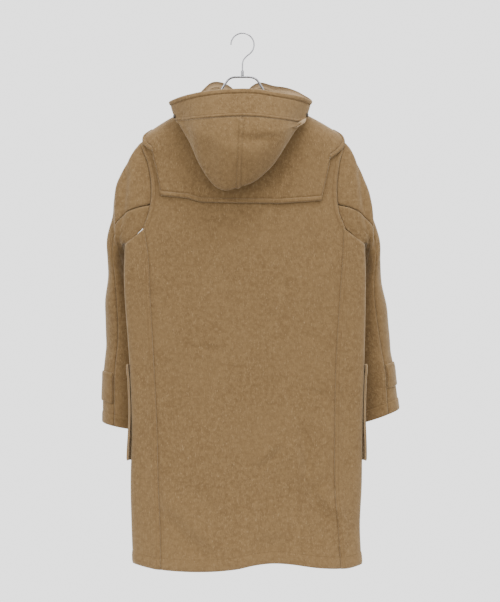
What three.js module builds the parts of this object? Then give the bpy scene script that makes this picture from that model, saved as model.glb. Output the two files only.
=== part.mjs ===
// A duffle coat of felted wool, hung on a slim metal hanger.
// Millimetres. +Z is up, +X is the wearer's left and the coat's front faces -Y.
// The origin is the inner top of the hook, where a rail bears.

import * as THREE from 'three';

// Driving dimensions
const clothThickness = 3;
const seamGap = 0.3;
const overlayGap = 1.5; // under a piece that lies on a curved panel
const ridgeGap = 0.2; // half the gap between the back and a front along the shoulder
const roundness = 2.1; // exponent of the flattened oval that every level of the body follows
const shoulderTipZ = -238;
const underarmZ = -474;
const neckHalfWidth = 82;
const neckSideZ = -163;
const neckBackDrop = 9;
const neckFrontDrop = 49;
const frontOverlap = 38; // each front edge passes the centre by this much
const rolledEdgeHeight = 1.2;
const pocketTopZ = -742;
const pocketBottomZ = -958;
const pocketInnerX = 92;
const toggleLevels = [-372, -480, -588, -696];
const toggleLength = 46;
const toggleRadius = 6.5;
const toggleX = -60;
const cordRadius = 1.8;
const hookWire = 1.6;
const hookRadius = 26;
const frameHalfHeight = 2.5;
const frameHalfDepth = 5;
const stemEndZ = -82;
const archZ = -97;
const armBelowRidge = 7.2; // from the shoulder's outer face to the middle of the hanger's arm
const tapeThickness = 1.6;
const tapeHalf = 0.14; // of the distance between two stations of the hood
const tabThickness = 2.4;
const patchThickness = 2;
const patchHalfHeight = 17;
const pocketEdgeProud = 2.5;
const pocketCornerProud = 5;
const yokeGap = 3.6; // under the yoke
const hoodSeatGap = 5; // from the panels to the hood's sewn edge, with the yoke's wall between them
const hoodLastFold = 6; // the last station of the hood that folds down the back
const brimSeam = 5; // the level of the hood where the brim is sewn on
const sleeveGap = 0.8;
const sleeveStart = 0.08; // the first station of a sleeve below its seam
const seamTurn = 1.5; // degrees of a sleeve's section from its seam to each piece

// Mesh counts
const hemRows = 15;
const shoulderRows = 4;
const backColumns = 16;
const frontColumns = 8;
const armholeSteps = 12; // from the shoulder tip to the underarm, on each face
const junction = 9; // the armhole step where the side seam meets the armhole
const yokeStep = 42; // longest step along the yoke's outline
const yokeTurn = 0.12; // largest turn round the body between two of its columns
const yokeShares = [0, 0.2, 0.42, 0.66, 0.86, 0.95, 1]; // its rows, from the neckline to the outline
const foldLevels = [0, 0.5, 1.2, 2, 2.7, 3.05, 3.5, 4.2, 4.995]; // rows of the hood below the brim
const brimLevels = [5.005, 5.35, 5.84, 6];
const topColumns = 15;
const underColumns = 9;
const sleevePlaces = [0, 0.03, 0.07, 0.12, 0.19, 0.27, 0.36, 0.46, 0.58, 0.72, 0.86, 1];

// Levels of the body, from hem to neck. left and right are half widths at the side, seam is where
// each side seam lies on the back, back and front are half depths, and curl is how far the side
// edges turn back.
const bodyLevels = [
  { z: -1215, left: 245, right: 270, seamLeft: 186, seamRight: 225, back: 62, front: 50, curl: 6 },
  { z: -1110, left: 249, right: 264, seamLeft: 187, seamRight: 218, back: 61, front: 50, curl: 8 },
  { z: -1010, left: 251, right: 268, seamLeft: 191, seamRight: 210, back: 60, front: 50, curl: 11 },
  { z: -884, left: 248, right: 269, seamLeft: 194, seamRight: 210, back: 58, front: 50, curl: 15 },
  { z: -742, left: 253, right: 273, seamLeft: 201, seamRight: 212, back: 57, front: 49, curl: 19 },
  { z: -578, left: 264, right: 276, seamLeft: 210, seamRight: 222, back: 57, front: 48, curl: 23 },
  { z: -506, left: 262, right: 272, seamLeft: 213, seamRight: 227, back: 56, front: 48, curl: 24 },
  { z: -440, left: 258, right: 268, seamLeft: 222, seamRight: 230, back: 55, front: 48, curl: 20 },
  { z: -380, left: 254, right: 262, seamLeft: 222, seamRight: 230, back: 54, front: 50, curl: 10 },
  { z: -300, left: 249, right: 254, seamLeft: 222, seamRight: 230, back: 51, front: 52, curl: 0 },
  { z: -254, left: 237, right: 239, seamLeft: 222, seamRight: 230, back: 50, front: 54, curl: 0 },
  { z: -238, left: 224, right: 226, seamLeft: 222, seamRight: 230, back: 49.5, front: 56, curl: 0 },
  { z: -229, left: 213, right: 215, seamLeft: 222, seamRight: 230, back: 49, front: 57, curl: 0 },
  { z: -191, left: 152, right: 149, seamLeft: 222, seamRight: 230, back: 48, front: 60, curl: 0 },
  { z: -163, left: 82, right: 82, seamLeft: 222, seamRight: 230, back: 46, front: 58, curl: 0 },
];

const armholeLevels = [
  { z: -440, backLeft: 222, backRight: 230, frontLeft: 226, frontRight: 236 },
  { z: -400, backLeft: 208, backRight: 215, frontLeft: 205, frontRight: 212 },
  { z: -352, backLeft: 203, backRight: 211, frontLeft: 195, frontRight: 203 },
  { z: -295, backLeft: 211, backRight: 217, frontLeft: 204, frontRight: 210 },
  { z: -255, backLeft: 226, backRight: 227, frontLeft: 223, frontRight: 224 },
  { z: -238, backLeft: 224, backRight: 226, frontLeft: 224, frontRight: 226 },
];

// The bottom edge, from the wearer's right to the left
const hemLine = [
  { x: -270, z: -1190 },
  { x: -232, z: -1197 },
  { x: -165, z: -1193 },
  { x: -107, z: -1185 },
  { x: -66, z: -1183 },
  { x: -26, z: -1187 },
  { x: 15, z: -1195 },
  { x: 75, z: -1201 },
  { x: 190, z: -1198 },
  { x: 245, z: -1188 },
];

// The large folds of the back: ridges stand out and troughs, with a negative height, go in
const backFolds = [
  { from: [176, -1000], to: [50, -1140], width: 80, height: 9 },
  { from: [150, -1090], to: [60, -1190], width: 80, height: -8 },
  { from: [-121, -850], to: [-150, -1080], width: 90, height: -10 },
  { from: [75, -1215], to: [75, -1170], width: 90, height: 5 },
  { from: [-50, -1215], to: [-40, -1130], width: 90, height: -8 },
];

// The yoke's outline, from the left front edge round the back to the right front.
// neck is the x of the neckline point that each outline point is drawn from.
const yokeOutline = [
  { x: -38, z: -332, face: -1, neck: -38 },
  { x: 30, z: -334, face: -1, neck: 8 },
  { x: 100, z: -334, face: -1, neck: 34 },
  { x: 166, z: -330, face: -1, neck: 56 },
  { x: 182, z: -290, face: -1, neck: 66 },
  { x: 196, z: -255, face: -1, neck: 74 },
  { x: 207, z: -225, face: 0, neck: 82 },
  { x: 199, z: -268, face: 1, neck: 78 },
  { x: 189, z: -315, face: 1, neck: 73 },
  { x: 180, z: -367, face: 1, neck: 66 },
  { x: 123, z: -373, face: 1, neck: 44 },
  { x: 92, z: -382, face: 1, neck: 32 },
  { x: 8, z: -384, face: 1, neck: 3 },
  { x: -80, z: -385, face: 1, neck: -28 },
  { x: -175, z: -378, face: 1, neck: -64 },
  { x: -186, z: -328, face: 1, neck: -72 },
  { x: -193, z: -285, face: 1, neck: -77 },
  { x: -208, z: -225, face: 0, neck: -82 },
  { x: -196, z: -255, face: -1, neck: -74 },
  { x: -182, z: -290, face: -1, neck: -66 },
  { x: -166, z: -330, face: -1, neck: -58 },
  { x: -100, z: -334, face: -1, neck: -51 },
  { x: -46, z: -333, face: -1, neck: -46 },
];

// Stations of the hood, from the centre back (0) to the throat (11). neck is the angle round the
// neckline. The cloth leaves the neck, rolls over, lies down the back, turns up at the bottom,
// and climbs over the belly and the brim's seam to the rim of the face opening.
const hoodLeft = [
  { at: 0, neck: 90, roll: [1, 66, -166], lay: [3, 66, -250], bottom: [8, 100, -353],
    belly: [4, 138, -268], seam: [0, 132, -200], rim: [0, 118, -138] },
  { at: 1, neck: 76, roll: [24, 65, -165], lay: [34, 66, -255], bottom: [38, 100, -361],
    belly: [36, 138, -275], seam: [34, 131, -201], rim: [34, 117, -139] },
  { at: 2, neck: 62, roll: [44, 60, -163], lay: [62, 64, -245], bottom: [66, 97, -347],
    belly: [64, 132, -262], seam: [68, 127, -203], rim: [68, 115, -142] },
  { at: 3, neck: 48, roll: [62, 52, -160], lay: [86, 62, -225], bottom: [92, 94, -306],
    belly: [90, 122, -246], seam: [102, 112, -204], rim: [102, 104, -146] },
  { at: 4, neck: 33, roll: [78, 40, -157], lay: [108, 56, -200], bottom: [114, 86, -256],
    belly: [116, 100, -228], seam: [128, 88, -204], rim: [136, 84, -152] },
  { at: 5, neck: 16, roll: [92, 22, -152], lay: [124, 42, -172], bottom: [136, 66, -205],
    belly: [143, 68, -206], seam: [149, 62, -199], rim: [162, 50, -158] },
  { at: 6, neck: -4, roll: [93, 2, -152], lay: [108, 6, -158], bottom: [122, 10, -166],
    belly: [131, 11, -170], seam: [139, 11, -172], rim: [146, 4, -148] },
  { at: 7, neck: -25, rim: [108, -32, -136] },
  { at: 8, neck: -42, rim: [70, -50, -102] },
  { at: 9, neck: -57, rim: [32, -58, -108] },
  { at: 10, neck: -69, rim: [8, -66, -138] },
  { at: 11, neck: -80, rim: [12, -73, -190] },
];
const hoodRight = [
  { at: 1, neck: 76, roll: [-24, 65, -165], lay: [-28, 66, -248], bottom: [-26, 99, -340],
    belly: [-28, 138, -262], seam: [-34, 131, -201], rim: [-34, 117, -139] },
  { at: 2, neck: 62, roll: [-44, 60, -163], lay: [-55, 64, -235], bottom: [-60, 96, -309],
    belly: [-60, 131, -250], seam: [-66, 126, -204], rim: [-68, 113, -144] },
  { at: 3, neck: 48, roll: [-62, 52, -160], lay: [-80, 62, -212], bottom: [-89, 91, -268],
    belly: [-90, 119, -236], seam: [-98, 110, -206], rim: [-102, 101, -148] },
  { at: 4, neck: 33, roll: [-78, 40, -157], lay: [-104, 56, -192], bottom: [-113, 82, -232],
    belly: [-116, 98, -218], seam: [-124, 84, -206], rim: [-134, 82, -152] },
  { at: 5, neck: 16, roll: [-92, 22, -152], lay: [-120, 42, -170], bottom: [-132, 64, -198],
    belly: [-138, 65, -199], seam: [-143, 60, -194], rim: [-155, 50, -156] },
  { at: 6, neck: -4, roll: [-93, 2, -152], lay: [-108, 6, -158], bottom: [-120, 10, -166],
    belly: [-128, 11, -170], seam: [-135, 11, -171], rim: [-142, 2, -140] },
  { at: 7, neck: -25, rim: [-106, -33, -118] },
  { at: 8, neck: -42, rim: [-72, -49, -110] },
  { at: 9, neck: -57, rim: [-36, -58, -102] },
  { at: 10, neck: -69, rim: [-10, -65, -126] },
  { at: 11, neck: -80, rim: [-12, -73, -190] },
];

// Stations of each sleeve from the armhole to the cuff: the lines of its outer edge, its inner
// edge, and the middle of its back and front faces. x is measured outward.
const sleeveLeft = [
  { at: 0.08, outer: [241, -2, -259], inner: [266, 17, -473], back: [233, 36, -370], front: [212, -44, -360] },
  { at: 0.16, outer: [257, -5, -290], inner: [270, 9, -474], back: [260, 31, -388], front: [224, -58, -376] },
  { at: 0.26, outer: [272, -10, -335], inner: [268, -9, -483], back: [281, 21, -418], front: [236, -78, -405] },
  { at: 0.36, outer: [287, -18, -398], inner: [262, -30, -502], back: [290, 9, -455], front: [246, -98, -444] },
  { at: 0.46, outer: [300, -28, -462], inner: [254, -48, -530], back: [290, 1, -504], front: [254, -112, -490] },
  { at: 0.58, outer: [309, -42, -560], inner: [240, -68, -590], back: [276, -14, -580], front: [264, -118, -566] },
  { at: 0.72, outer: [313, -54, -684], inner: [214, -90, -690], back: [254, -28, -692], front: [268, -120, -686] },
  { at: 0.86, outer: [318, -60, -784], inner: [210, -104, -792], back: [252, -38, -794], front: [274, -122, -788] },
  { at: 1, outer: [320, -64, -878], inner: [216, -108, -895], back: [256, -43, -893], front: [280, -118, -884] },
];
const sleeveRight = [
  { at: 0.08, outer: [242, -2, -258], inner: [277, 17, -473], back: [240, 36, -370], front: [218, -44, -360] },
  { at: 0.16, outer: [256, -5, -292], inner: [280, 9, -474], back: [266, 31, -390], front: [230, -58, -380] },
  { at: 0.26, outer: [270, -10, -345], inner: [277, -9, -483], back: [288, 21, -422], front: [242, -78, -410] },
  { at: 0.36, outer: [288, -18, -400], inner: [271, -30, -502], back: [297, 9, -459], front: [252, -98, -446] },
  { at: 0.46, outer: [304, -28, -466], inner: [265, -48, -528], back: [298, 1, -506], front: [262, -112, -492] },
  { at: 0.58, outer: [321, -42, -572], inner: [256, -68, -588], back: [288, -14, -586], front: [278, -118, -574] },
  { at: 0.72, outer: [338, -54, -696], inner: [244, -88, -694], back: [287, -26, -702], front: [296, -118, -696] },
  { at: 0.86, outer: [348, -60, -776], inner: [248, -100, -792], back: [290, -36, -790], front: [308, -118, -784] },
  { at: 1, outer: [358, -62, -848], inner: [257, -102, -884], back: [297, -42, -872], front: [318, -112, -860] },
];

// How far the cloth below the back of the armhole stands out, x outward
const sleeveTuck = [
  { at: 0, shift: [0, 0, 0] },
  { at: 0.08, shift: [3, 0, 6] },
  { at: 0.16, shift: [9, 0, 12] },
  { at: 0.26, shift: [12, 2, 10] },
  { at: 0.36, shift: [6, 2, 5] },
  { at: 0.46, shift: [0, 0, 0] },
  { at: 1, shift: [0, 0, 0] },
];

// Where the back seam of a sleeve runs round it, in degrees from the outer edge
const sleeveBackSeam = [
  { at: 0, angle: 105 },
  { at: 0.3, angle: 92 },
  { at: 0.58, angle: 72 },
  { at: 0.8, angle: 48 },
  { at: 1, angle: 50 },
];
const sleeveFrontSeam = -120;

const colours = {
  wool: 0x8d7146, leather: 0x5b3d24, wood: 0x6b4528, cord: 0x6e5433, steel: 0xb9bcc0, snap: 0x2c2620,
};

// Small helpers
const mix = (a, b, t) => a + (b - a) * t;
const clamp = (value, low, high) => Math.min(high, Math.max(low, value));
const radians = (degrees) => (degrees * Math.PI) / 180;

function ease(low, high, value) {
  const t = clamp((value - low) / (high - low), 0, 1);
  return t * t * (3 - 2 * t);
}

// A smooth curve through the rows of a table. A column holds a number or a point.
function follow(rows, key) {
  const last = rows.length - 1;
  const slope = (k, read) => {
    const before = Math.max(0, k - 1);
    const after = Math.min(last, k + 1);
    return (read(rows[after]) - read(rows[before])) / (rows[after][key] - rows[before][key]);
  };
  return (place, column) => {
    const at = clamp(place, rows[0][key], rows[last][key]);
    let k = 0;
    while (k < last - 1 && at > rows[k + 1][key]) k += 1;
    const span = rows[k + 1][key] - rows[k][key];
    const t = (at - rows[k][key]) / span;
    const through = (read) => {
      const start = read(rows[k]);
      const end = read(rows[k + 1]);
      const curve = (1 + 2 * t) * (1 - t) * (1 - t) * start + t * t * (3 - 2 * t) * end;
      return curve + span * t * (1 - t) * ((1 - t) * slope(k, read) - t * slope(k + 1, read));
    };
    if (typeof rows[0][column] === 'number') return through((row) => row[column]);
    return new THREE.Vector3(...[0, 1, 2].map((axis) => through((row) => row[column][axis])));
  };
}

// The body as a surface
const body = follow(bodyLevels, 'z');
const armhole = follow(armholeLevels, 'z');
const hem = follow(hemLine, 'x');
const halfWidth = (z, side) => body(z, side > 0 ? 'left' : 'right');
const seamAt = (z, side) => body(z, side > 0 ? 'seamLeft' : 'seamRight');
const armholeEdge = (z, side, face) => armhole(z, (face > 0 ? 'back' : 'front') + (side > 0 ? 'Left' : 'Right'));

// How far the back stands out or goes in at a fold
function foldRelief(x, z) {
  let relief = 0;
  for (const fold of backFolds) {
    const along = [fold.to[0] - fold.from[0], fold.to[1] - fold.from[1]];
    const length = along[0] ** 2 + along[1] ** 2;
    const t = clamp(((x - fold.from[0]) * along[0] + (z - fold.from[1]) * along[1]) / length, 0, 1);
    const distance = Math.hypot(x - fold.from[0] - t * along[0], z - fold.from[1] - t * along[1]);
    relief += fold.height * (1 - ease(0, fold.width, distance));
  }
  return relief;
}

const sideCurl = (share, z) => body(z, 'curl') * Math.min(1, share) ** 5;

// A point of the back (face 1) or front (face -1) above or below a point of the plan x, z
function onSheet(x, z, face) {
  const reach = halfWidth(z, x < 0 ? -1 : 1);
  const inside = 1 - Math.min(1, Math.abs(x) / reach) ** roundness;
  let depth = body(z, face > 0 ? 'back' : 'front') * inside ** (1 / roundness);
  if (face > 0) depth += foldRelief(x, z) * ease(0, 0.35, inside);
  return new THREE.Vector3(x, face * Math.max(depth, ridgeGap) + sideCurl(Math.abs(x) / reach, z), z);
}

const angleAtX = (x, z) => {
  const share = Math.min(1, Math.abs(x) / halfWidth(z, x < 0 ? -1 : 1));
  return Math.acos(share ** (roundness / 2));
};

// A point round the body: angle 0 is the left side, a right angle the middle of the back,
// and two right angles the right side
function torso(angle, z) {
  const side = Math.cos(angle) < 0 ? -1 : 1;
  const across = Math.abs(Math.cos(angle)) ** (2 / roundness);
  const inside = 1 - across ** roundness;
  const face = Math.sin(angle) < 0 ? -1 : 1;
  const x = side * halfWidth(z, side) * across;
  let depth = body(z, face > 0 ? 'back' : 'front') * Math.abs(Math.sin(angle)) ** (2 / roundness);
  if (face > 0) depth += foldRelief(x, z) * ease(0, 0.35, inside);
  return new THREE.Vector3(x, face * depth + sideCurl(across, z), z);
}

// A point round one side: angle 0 is the side and positive angles are on the back
const aroundSide = (angle, z, side) => torso(side > 0 ? angle : Math.PI - angle, z);

const armholeZ = (step) => mix(shoulderTipZ, underarmZ, (1 - Math.cos((Math.PI * step) / armholeSteps)) / 2);
const junctionZ = armholeZ(junction);

// Share of the way from the side to the side seam at which the armhole's lower edge has a height
const underarmShare = (z) => Math.sqrt(clamp((z - underarmZ) / (junctionZ - underarmZ), 0, 1));
const frontCorner = (z, side) => {
  const share = armholeEdge(junctionZ, side, -1) / halfWidth(junctionZ, side);
  return share * halfWidth(z, side);
};

// The neckline: angle 90 is the centre back, 0 the side and -90 the throat
function neckline(angle, side) {
  const drop = angle > 0 ? neckBackDrop : neckFrontDrop;
  const z = neckSideZ - drop * Math.sin(radians(angle)) ** 2;
  return { x: side * neckHalfWidth * Math.cos(radians(angle)), z, face: angle > 0 ? 1 : -1 };
}

const neckZ = (x, face) => {
  const drop = face > 0 ? neckBackDrop : neckFrontDrop;
  return neckSideZ - drop * (1 - clamp(Math.abs(x) / neckHalfWidth, 0, 1) ** 2);
};

// The left front lies over the right one past this line
const overlapLift = (x) => (clothThickness + 5 * seamGap) * (1 - ease(46, 84, x));

// A point of a surface with its outward direction. turn is -1 where the two directions of the
// surface cross inward.
function skin(surface, u, v, turn = 1) {
  const step = 0.004;
  const across = surface(u + step, v).sub(surface(u - step, v));
  const along = surface(u, v + step).sub(surface(u, v - step));
  return { point: surface(u, v), out: across.cross(along).normalize().multiplyScalar(turn) };
}

const torsoSkin = (angle, z) => skin((u, v) => torso(u, v), angle, z);

function sheetSkin(x, z, face) {
  const angle = angleOf({ x, z, face, leftHalf: x > 0 });
  return { point: onSheet(x, z, face), out: torsoSkin(angle, z).out };
}

const lifted = ({ point, out }, distance) => ({ point: point.clone().addScaledVector(out, distance), out });
const liftRows = (rows, distance) => rows.map((row, j) => row.map((spot, i) => (
  lifted(spot, typeof distance === 'function' ? distance(j, i) : distance))));

// A closed wall of cloth from rows of points on its outer face. flip tells that the rows and
// columns cross inward, keep leaves cells out and raise thickens it outward.
function wall(rows, { thickness = clothThickness, keep = () => true, flip = false, raise = () => 0 } = {}) {
  const cells = rows[0].length - 1;
  const positions = [];
  const numbers = new Map();
  const vertex = (layer, j, i) => {
    const name = `${layer} ${j} ${i}`;
    if (!numbers.has(name)) {
      numbers.set(name, positions.length / 3);
      positions.push(...lifted(rows[j][i], layer ? -thickness : raise(j, i)).point.toArray());
    }
    return numbers.get(name);
  };
  const kept = (j, i) => j >= 0 && j < rows.length - 1 && i >= 0 && i < cells && keep(j, i);
  const triangles = [];
  const triangle = (a, b, c) => triangles.push(...(flip ? [a, c, b] : [a, b, c]));
  for (let j = 0; j < rows.length - 1; j += 1) {
    for (let i = 0; i < cells; i += 1) {
      if (!kept(j, i)) continue;
      const corners = [[j, i], [j, i + 1], [j + 1, i + 1], [j + 1, i]];
      const front = corners.map(([row, column]) => vertex(0, row, column));
      const back = corners.map(([row, column]) => vertex(1, row, column));
      triangle(front[0], front[1], front[2]);
      triangle(front[0], front[2], front[3]);
      triangle(back[0], back[2], back[1]);
      triangle(back[0], back[3], back[2]);
      const neighbours = [kept(j - 1, i), kept(j, i + 1), kept(j + 1, i), kept(j, i - 1)];
      neighbours.forEach((there, k) => {
        if (there) return;
        const next = (k + 1) % 4;
        triangle(front[next], front[k], back[k]);
        triangle(front[next], back[k], back[next]);
      });
    }
  }
  const geometry = new THREE.BufferGeometry();
  geometry.setAttribute('position', new THREE.Float32BufferAttribute(positions, 3));
  geometry.setIndex(triangles);
  geometry.computeVertexNormals();
  return geometry;
}

// A closed solid of round sections along a line
function tube(points, { radius, wide = radius, sides = 6, steps = 16, tension = 0.5 }) {
  const section = new THREE.Shape();
  for (let k = 0; k < sides; k += 1) {
    const angle = (2 * Math.PI * (k + 0.5)) / sides;
    const corner = [radius * Math.cos(angle), wide * Math.sin(angle)];
    if (k === 0) section.moveTo(...corner);
    else section.lineTo(...corner);
  }
  const path = new THREE.CatmullRomCurve3(points, false, 'catmullrom', tension);
  return new THREE.ExtrudeGeometry(section, { steps, extrudePath: path, bevelEnabled: false });
}

const coat = new THREE.Group();
coat.name = 'duffle_coat';

function add(name, geometry, color, { roughness = 0.95, metalness = 0 } = {}) {
  const material = new THREE.MeshStandardMaterial({ color, roughness, metalness });
  const mesh = new THREE.Mesh(geometry, material);
  mesh.name = name;
  coat.add(mesh);
  return mesh;
}

// A row of the back or a front between the armhole or shoulder ridge and the centre
function upperLevels(face) {
  const levels = [];
  for (let step = junction; step >= 0; step -= 1) {
    const z = armholeZ(step);
    levels.push({ endZ: z, middleZ: z, edge: (side) => armholeEdge(z, side, face) });
  }
  const drop = face > 0 ? neckBackDrop : neckFrontDrop;
  for (let row = 1; row <= shoulderRows; row += 1) {
    const t = row / shoulderRows;
    const endZ = mix(shoulderTipZ, neckSideZ, t);
    levels.push({ endZ, middleZ: mix(shoulderTipZ, neckSideZ - drop, t), edge: (side) => halfWidth(endZ, side) });
  }
  return levels;
}

function backPanel() {
  const rows = [];
  const shares = [];
  for (let i = 0; i <= backColumns; i += 1) shares.push(mix(1, -1, i / backColumns));
  const crowded = (q, z) => mix(q, Math.sin((Math.PI / 2) * q), ease(junctionZ - 150, shoulderTipZ, z));
  for (let j = 0; j < hemRows; j += 1) {
    const t = j / hemRows;
    const level = mix(hem(0, 'z'), junctionZ, t);
    rows.push(shares.map((q) => {
      const x = crowded(q, level) * seamAt(level, q);
      return sheetSkin(x, mix(hem(x, 'z'), junctionZ, t), 1);
    }));
  }
  for (const { endZ, middleZ, edge } of upperLevels(1)) {
    rows.push(shares.map((q) => {
      const share = crowded(q, endZ);
      return sheetSkin(share * edge(q), mix(middleZ, endZ, share * share), 1);
    }));
  }
  return rows;
}

// A front with the strip that wraps round the side to the seam on the back
const sideShares = [10, 11].map((step) => underarmShare(armholeZ(step)));
const sideColumns = [1, ...sideShares, 0, -sideShares[1], -sideShares[0], -1];

function frontPanel(side) {
  const rows = [];
  const centreX = side * -frontOverlap;
  const lift = side > 0 ? overlapLift : () => 0;
  const shares = [];
  for (let i = 1; i <= frontColumns; i += 1) shares.push(1 - Math.sin((Math.PI / 2) * (1 - i / frontColumns)));
  const place = (x, z) => {
    const spot = sheetSkin(x, z, -1);
    spot.point.y -= lift(x);
    return spot;
  };
  for (let j = 0; j <= hemRows; j += 1) {
    const t = j / hemRows;
    const level = mix(hem(0, 'z'), junctionZ, t);
    const seamAngle = angleAtX(side * (seamAt(level, side) + 3 * seamGap), level);
    const cornerX = frontCorner(level, side);
    const cornerAngle = angleAtX(side * cornerX, level);
    const wrap = sideColumns.map((share) => {
      const angle = share > 0 ? share * seamAngle : share * cornerAngle;
      const top = mix(underarmZ, junctionZ, share * share);
      const x = aroundSide(angle, level, side).x;
      return torsoSkin(side > 0 ? angle : Math.PI - angle, mix(hem(x, 'z'), top, t));
    });
    const across = shares.map((share) => {
      const x = mix(side * cornerX, centreX, share);
      return place(x, mix(hem(x, 'z') + 2, junctionZ, t));
    });
    rows.push([...wrap, ...across]);
  }
  const empty = sideColumns.slice(1).map(() => null);
  for (const { endZ, middleZ, edge } of upperLevels(-1).slice(1)) {
    const edgeX = side * edge(side);
    const row = [0, ...shares].map((share) => {
      const x = mix(edgeX, centreX, share);
      return place(x, mix(middleZ, endZ, Math.min(1, Math.abs(x / edgeX)) ** 2));
    });
    rows.push([...empty, ...row]);
  }
  return rows;
}

const firstFrontColumn = sideColumns.length - 1;
const inFront = (j, i) => i >= firstFrontColumn || j < hemRows;

// The angle round the body of a point of the plan. The left front comes before the back, and
// the right front after it.
function angleOf({ x, z, face, leftHalf }) {
  const angle = angleAtX(x, z);
  if (face > 0) return x < 0 ? Math.PI - angle : angle;
  if (leftHalf) return x < 0 ? angle - Math.PI : -angle;
  return Math.PI + angle;
}

// The yoke, drawn from the neckline to its outline over the back, shoulders and chest
const yokeEnds = yokeOutline.map(({ x, z, face, neck }, k) => {
  const leftHalf = k < yokeOutline.length / 2;
  if (face === 0) {
    const angle = leftHalf ? 0 : Math.PI;
    return { startAngle: angle, endAngle: angle, startZ: neckSideZ, endZ: z };
  }
  const startZ = neckZ(neck, face);
  const startAngle = angleOf({ x: neck, z: startZ, face, leftHalf });
  return { startAngle, endAngle: angleOf({ x, z, face, leftHalf }), startZ, endZ: z };
});

function yokeStation(at) {
  const k = Math.min(yokeEnds.length - 2, Math.floor(at));
  const leftHalf = k < yokeEnds.length / 2;
  const between = (name) => mix(yokeEnds[k][name], yokeEnds[k + 1][name], at - k);
  return (share) => {
    const z = mix(between('startZ'), between('endZ'), share);
    const spot = torsoSkin(mix(between('startAngle'), between('endAngle'), share), z);
    if (leftHalf && spot.point.y < 0) spot.point.y -= overlapLift(spot.point.x);
    return spot;
  };
}

function yokeRows() {
  const stations = [];
  for (let k = 0; k < yokeOutline.length - 1; k += 1) {
    const [a, b] = [yokeOutline[k], yokeOutline[k + 1]];
    const turn = Math.abs(yokeEnds[k + 1].endAngle - yokeEnds[k].endAngle);
    const length = Math.hypot(b.x - a.x, b.z - a.z);
    const parts = Math.max(1, Math.round(length / yokeStep), Math.ceil(turn / yokeTurn));
    for (let part = 0; part < parts; part += 1) stations.push(k + part / parts);
  }
  stations.push(yokeOutline.length - 1.0001);
  const columns = stations.map(yokeStation);
  return yokeShares.map((share) => columns.map((column) => column(share)));
}

// The hood
const hoodSides = { 1: follow(hoodLeft, 'at'), [-1]: follow([{ ...hoodLeft[0] }, ...hoodRight], 'at') };

// Where the hood is sewn to the neckline, above the panels and the yoke
function hoodNeck(angle, side) {
  const { x, z, face } = neckline(angle, side);
  const turn = angleOf({ x, z, face, leftHalf: side > 0 });
  const step = 0.01;
  const across = torso(turn + step, z).sub(torso(turn - step, z));
  const along = torso(turn, z + 1).sub(torso(turn, z - 1));
  const out = across.cross(along).normalize();
  const lift = face < 0 ? overlapLift(side > 0 ? x : Math.max(0, -x - 20)) : 0;
  const point = torso(turn, z).addScaledVector(out, 2 * clothThickness + hoodSeatGap);
  point.z += 2 * seamGap;
  point.y -= lift;
  return point;
}

const hoodLines = ['roll', 'lay', 'bottom', 'belly', 'seam'];

// A point of the hood: at runs from the right throat (-11) to the left (11), and up runs from the
// neck (0) by the lines above to the rim (6)
function hoodPoint(at, up) {
  const side = at < 0 ? -1 : 1;
  const station = hoodSides[side];
  const place = Math.abs(at);
  const neck = hoodNeck(station(place, 'neck'), side);
  const rim = station(place, 'rim');
  const lines = hoodLines.map((line, k) => {
    const upright = neck.clone().lerp(rim, 0.07 * (k + 1));
    if (place >= hoodLastFold + 1) return upright;
    const folded = foldedHood[side](Math.min(place, hoodLastFold), line);
    return folded.lerp(upright, ease(hoodLastFold, hoodLastFold + 1, place));
  });
  const knots = [neck, ...lines, rim].map((point, k) => ({ k, point: point.toArray() }));
  return follow(knots, 'k')(up, 'point');
}

// The level of the brim's seam, half a gap below it (-1) or above it (1)
function seamLevel(at, direction) {
  const step = 0.02;
  const speed = hoodPoint(at, brimSeam + step).distanceTo(hoodPoint(at, brimSeam - step)) / (2 * step);
  return brimSeam + (direction * 3.4 * seamGap) / speed;
}

function hoodRows(levels, places) {
  return levels.map((level) => places.map((at) => {
    const up = Math.abs(level - brimSeam) < 0.01 ? seamLevel(at, Math.sign(level - brimSeam)) : level;
    return skin(hoodPoint, at, up, -1);
  }));
}

const spread = (from, to, count) => Array.from({ length: count + 1 }, (_, k) => mix(from, to, k / count));

// The sleeves
const sleeveSides = { 1: follow(sleeveLeft, 'at'), [-1]: follow(sleeveRight, 'at') };
const backSeam = follow(sleeveBackSeam, 'at');
const tuck = follow(sleeveTuck, 'at');

// A point of the armhole: angle 0 is the shoulder tip, a right angle the back, two the underarm
function armholePoint(angle, side) {
  const face = Math.sin(angle) >= 0 ? 1 : -1;
  const z = mix(shoulderTipZ, underarmZ, (1 - Math.cos(angle)) / 2);
  let point;
  if (z > junctionZ) {
    point = onSheet(side * armholeEdge(z, side, face), z, face);
  } else {
    const seamAngle = angleAtX(side * seamAt(junctionZ, side), junctionZ);
    const cornerAngle = angleAtX(side * frontCorner(junctionZ, side), junctionZ);
    point = aroundSide(face * underarmShare(z) * (face > 0 ? seamAngle : cornerAngle), z, side);
  }
  point.x += side * sleeveGap;
  point.z += sleeveGap * Math.max(0, -Math.cos(angle));
  return point;
}

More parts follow.
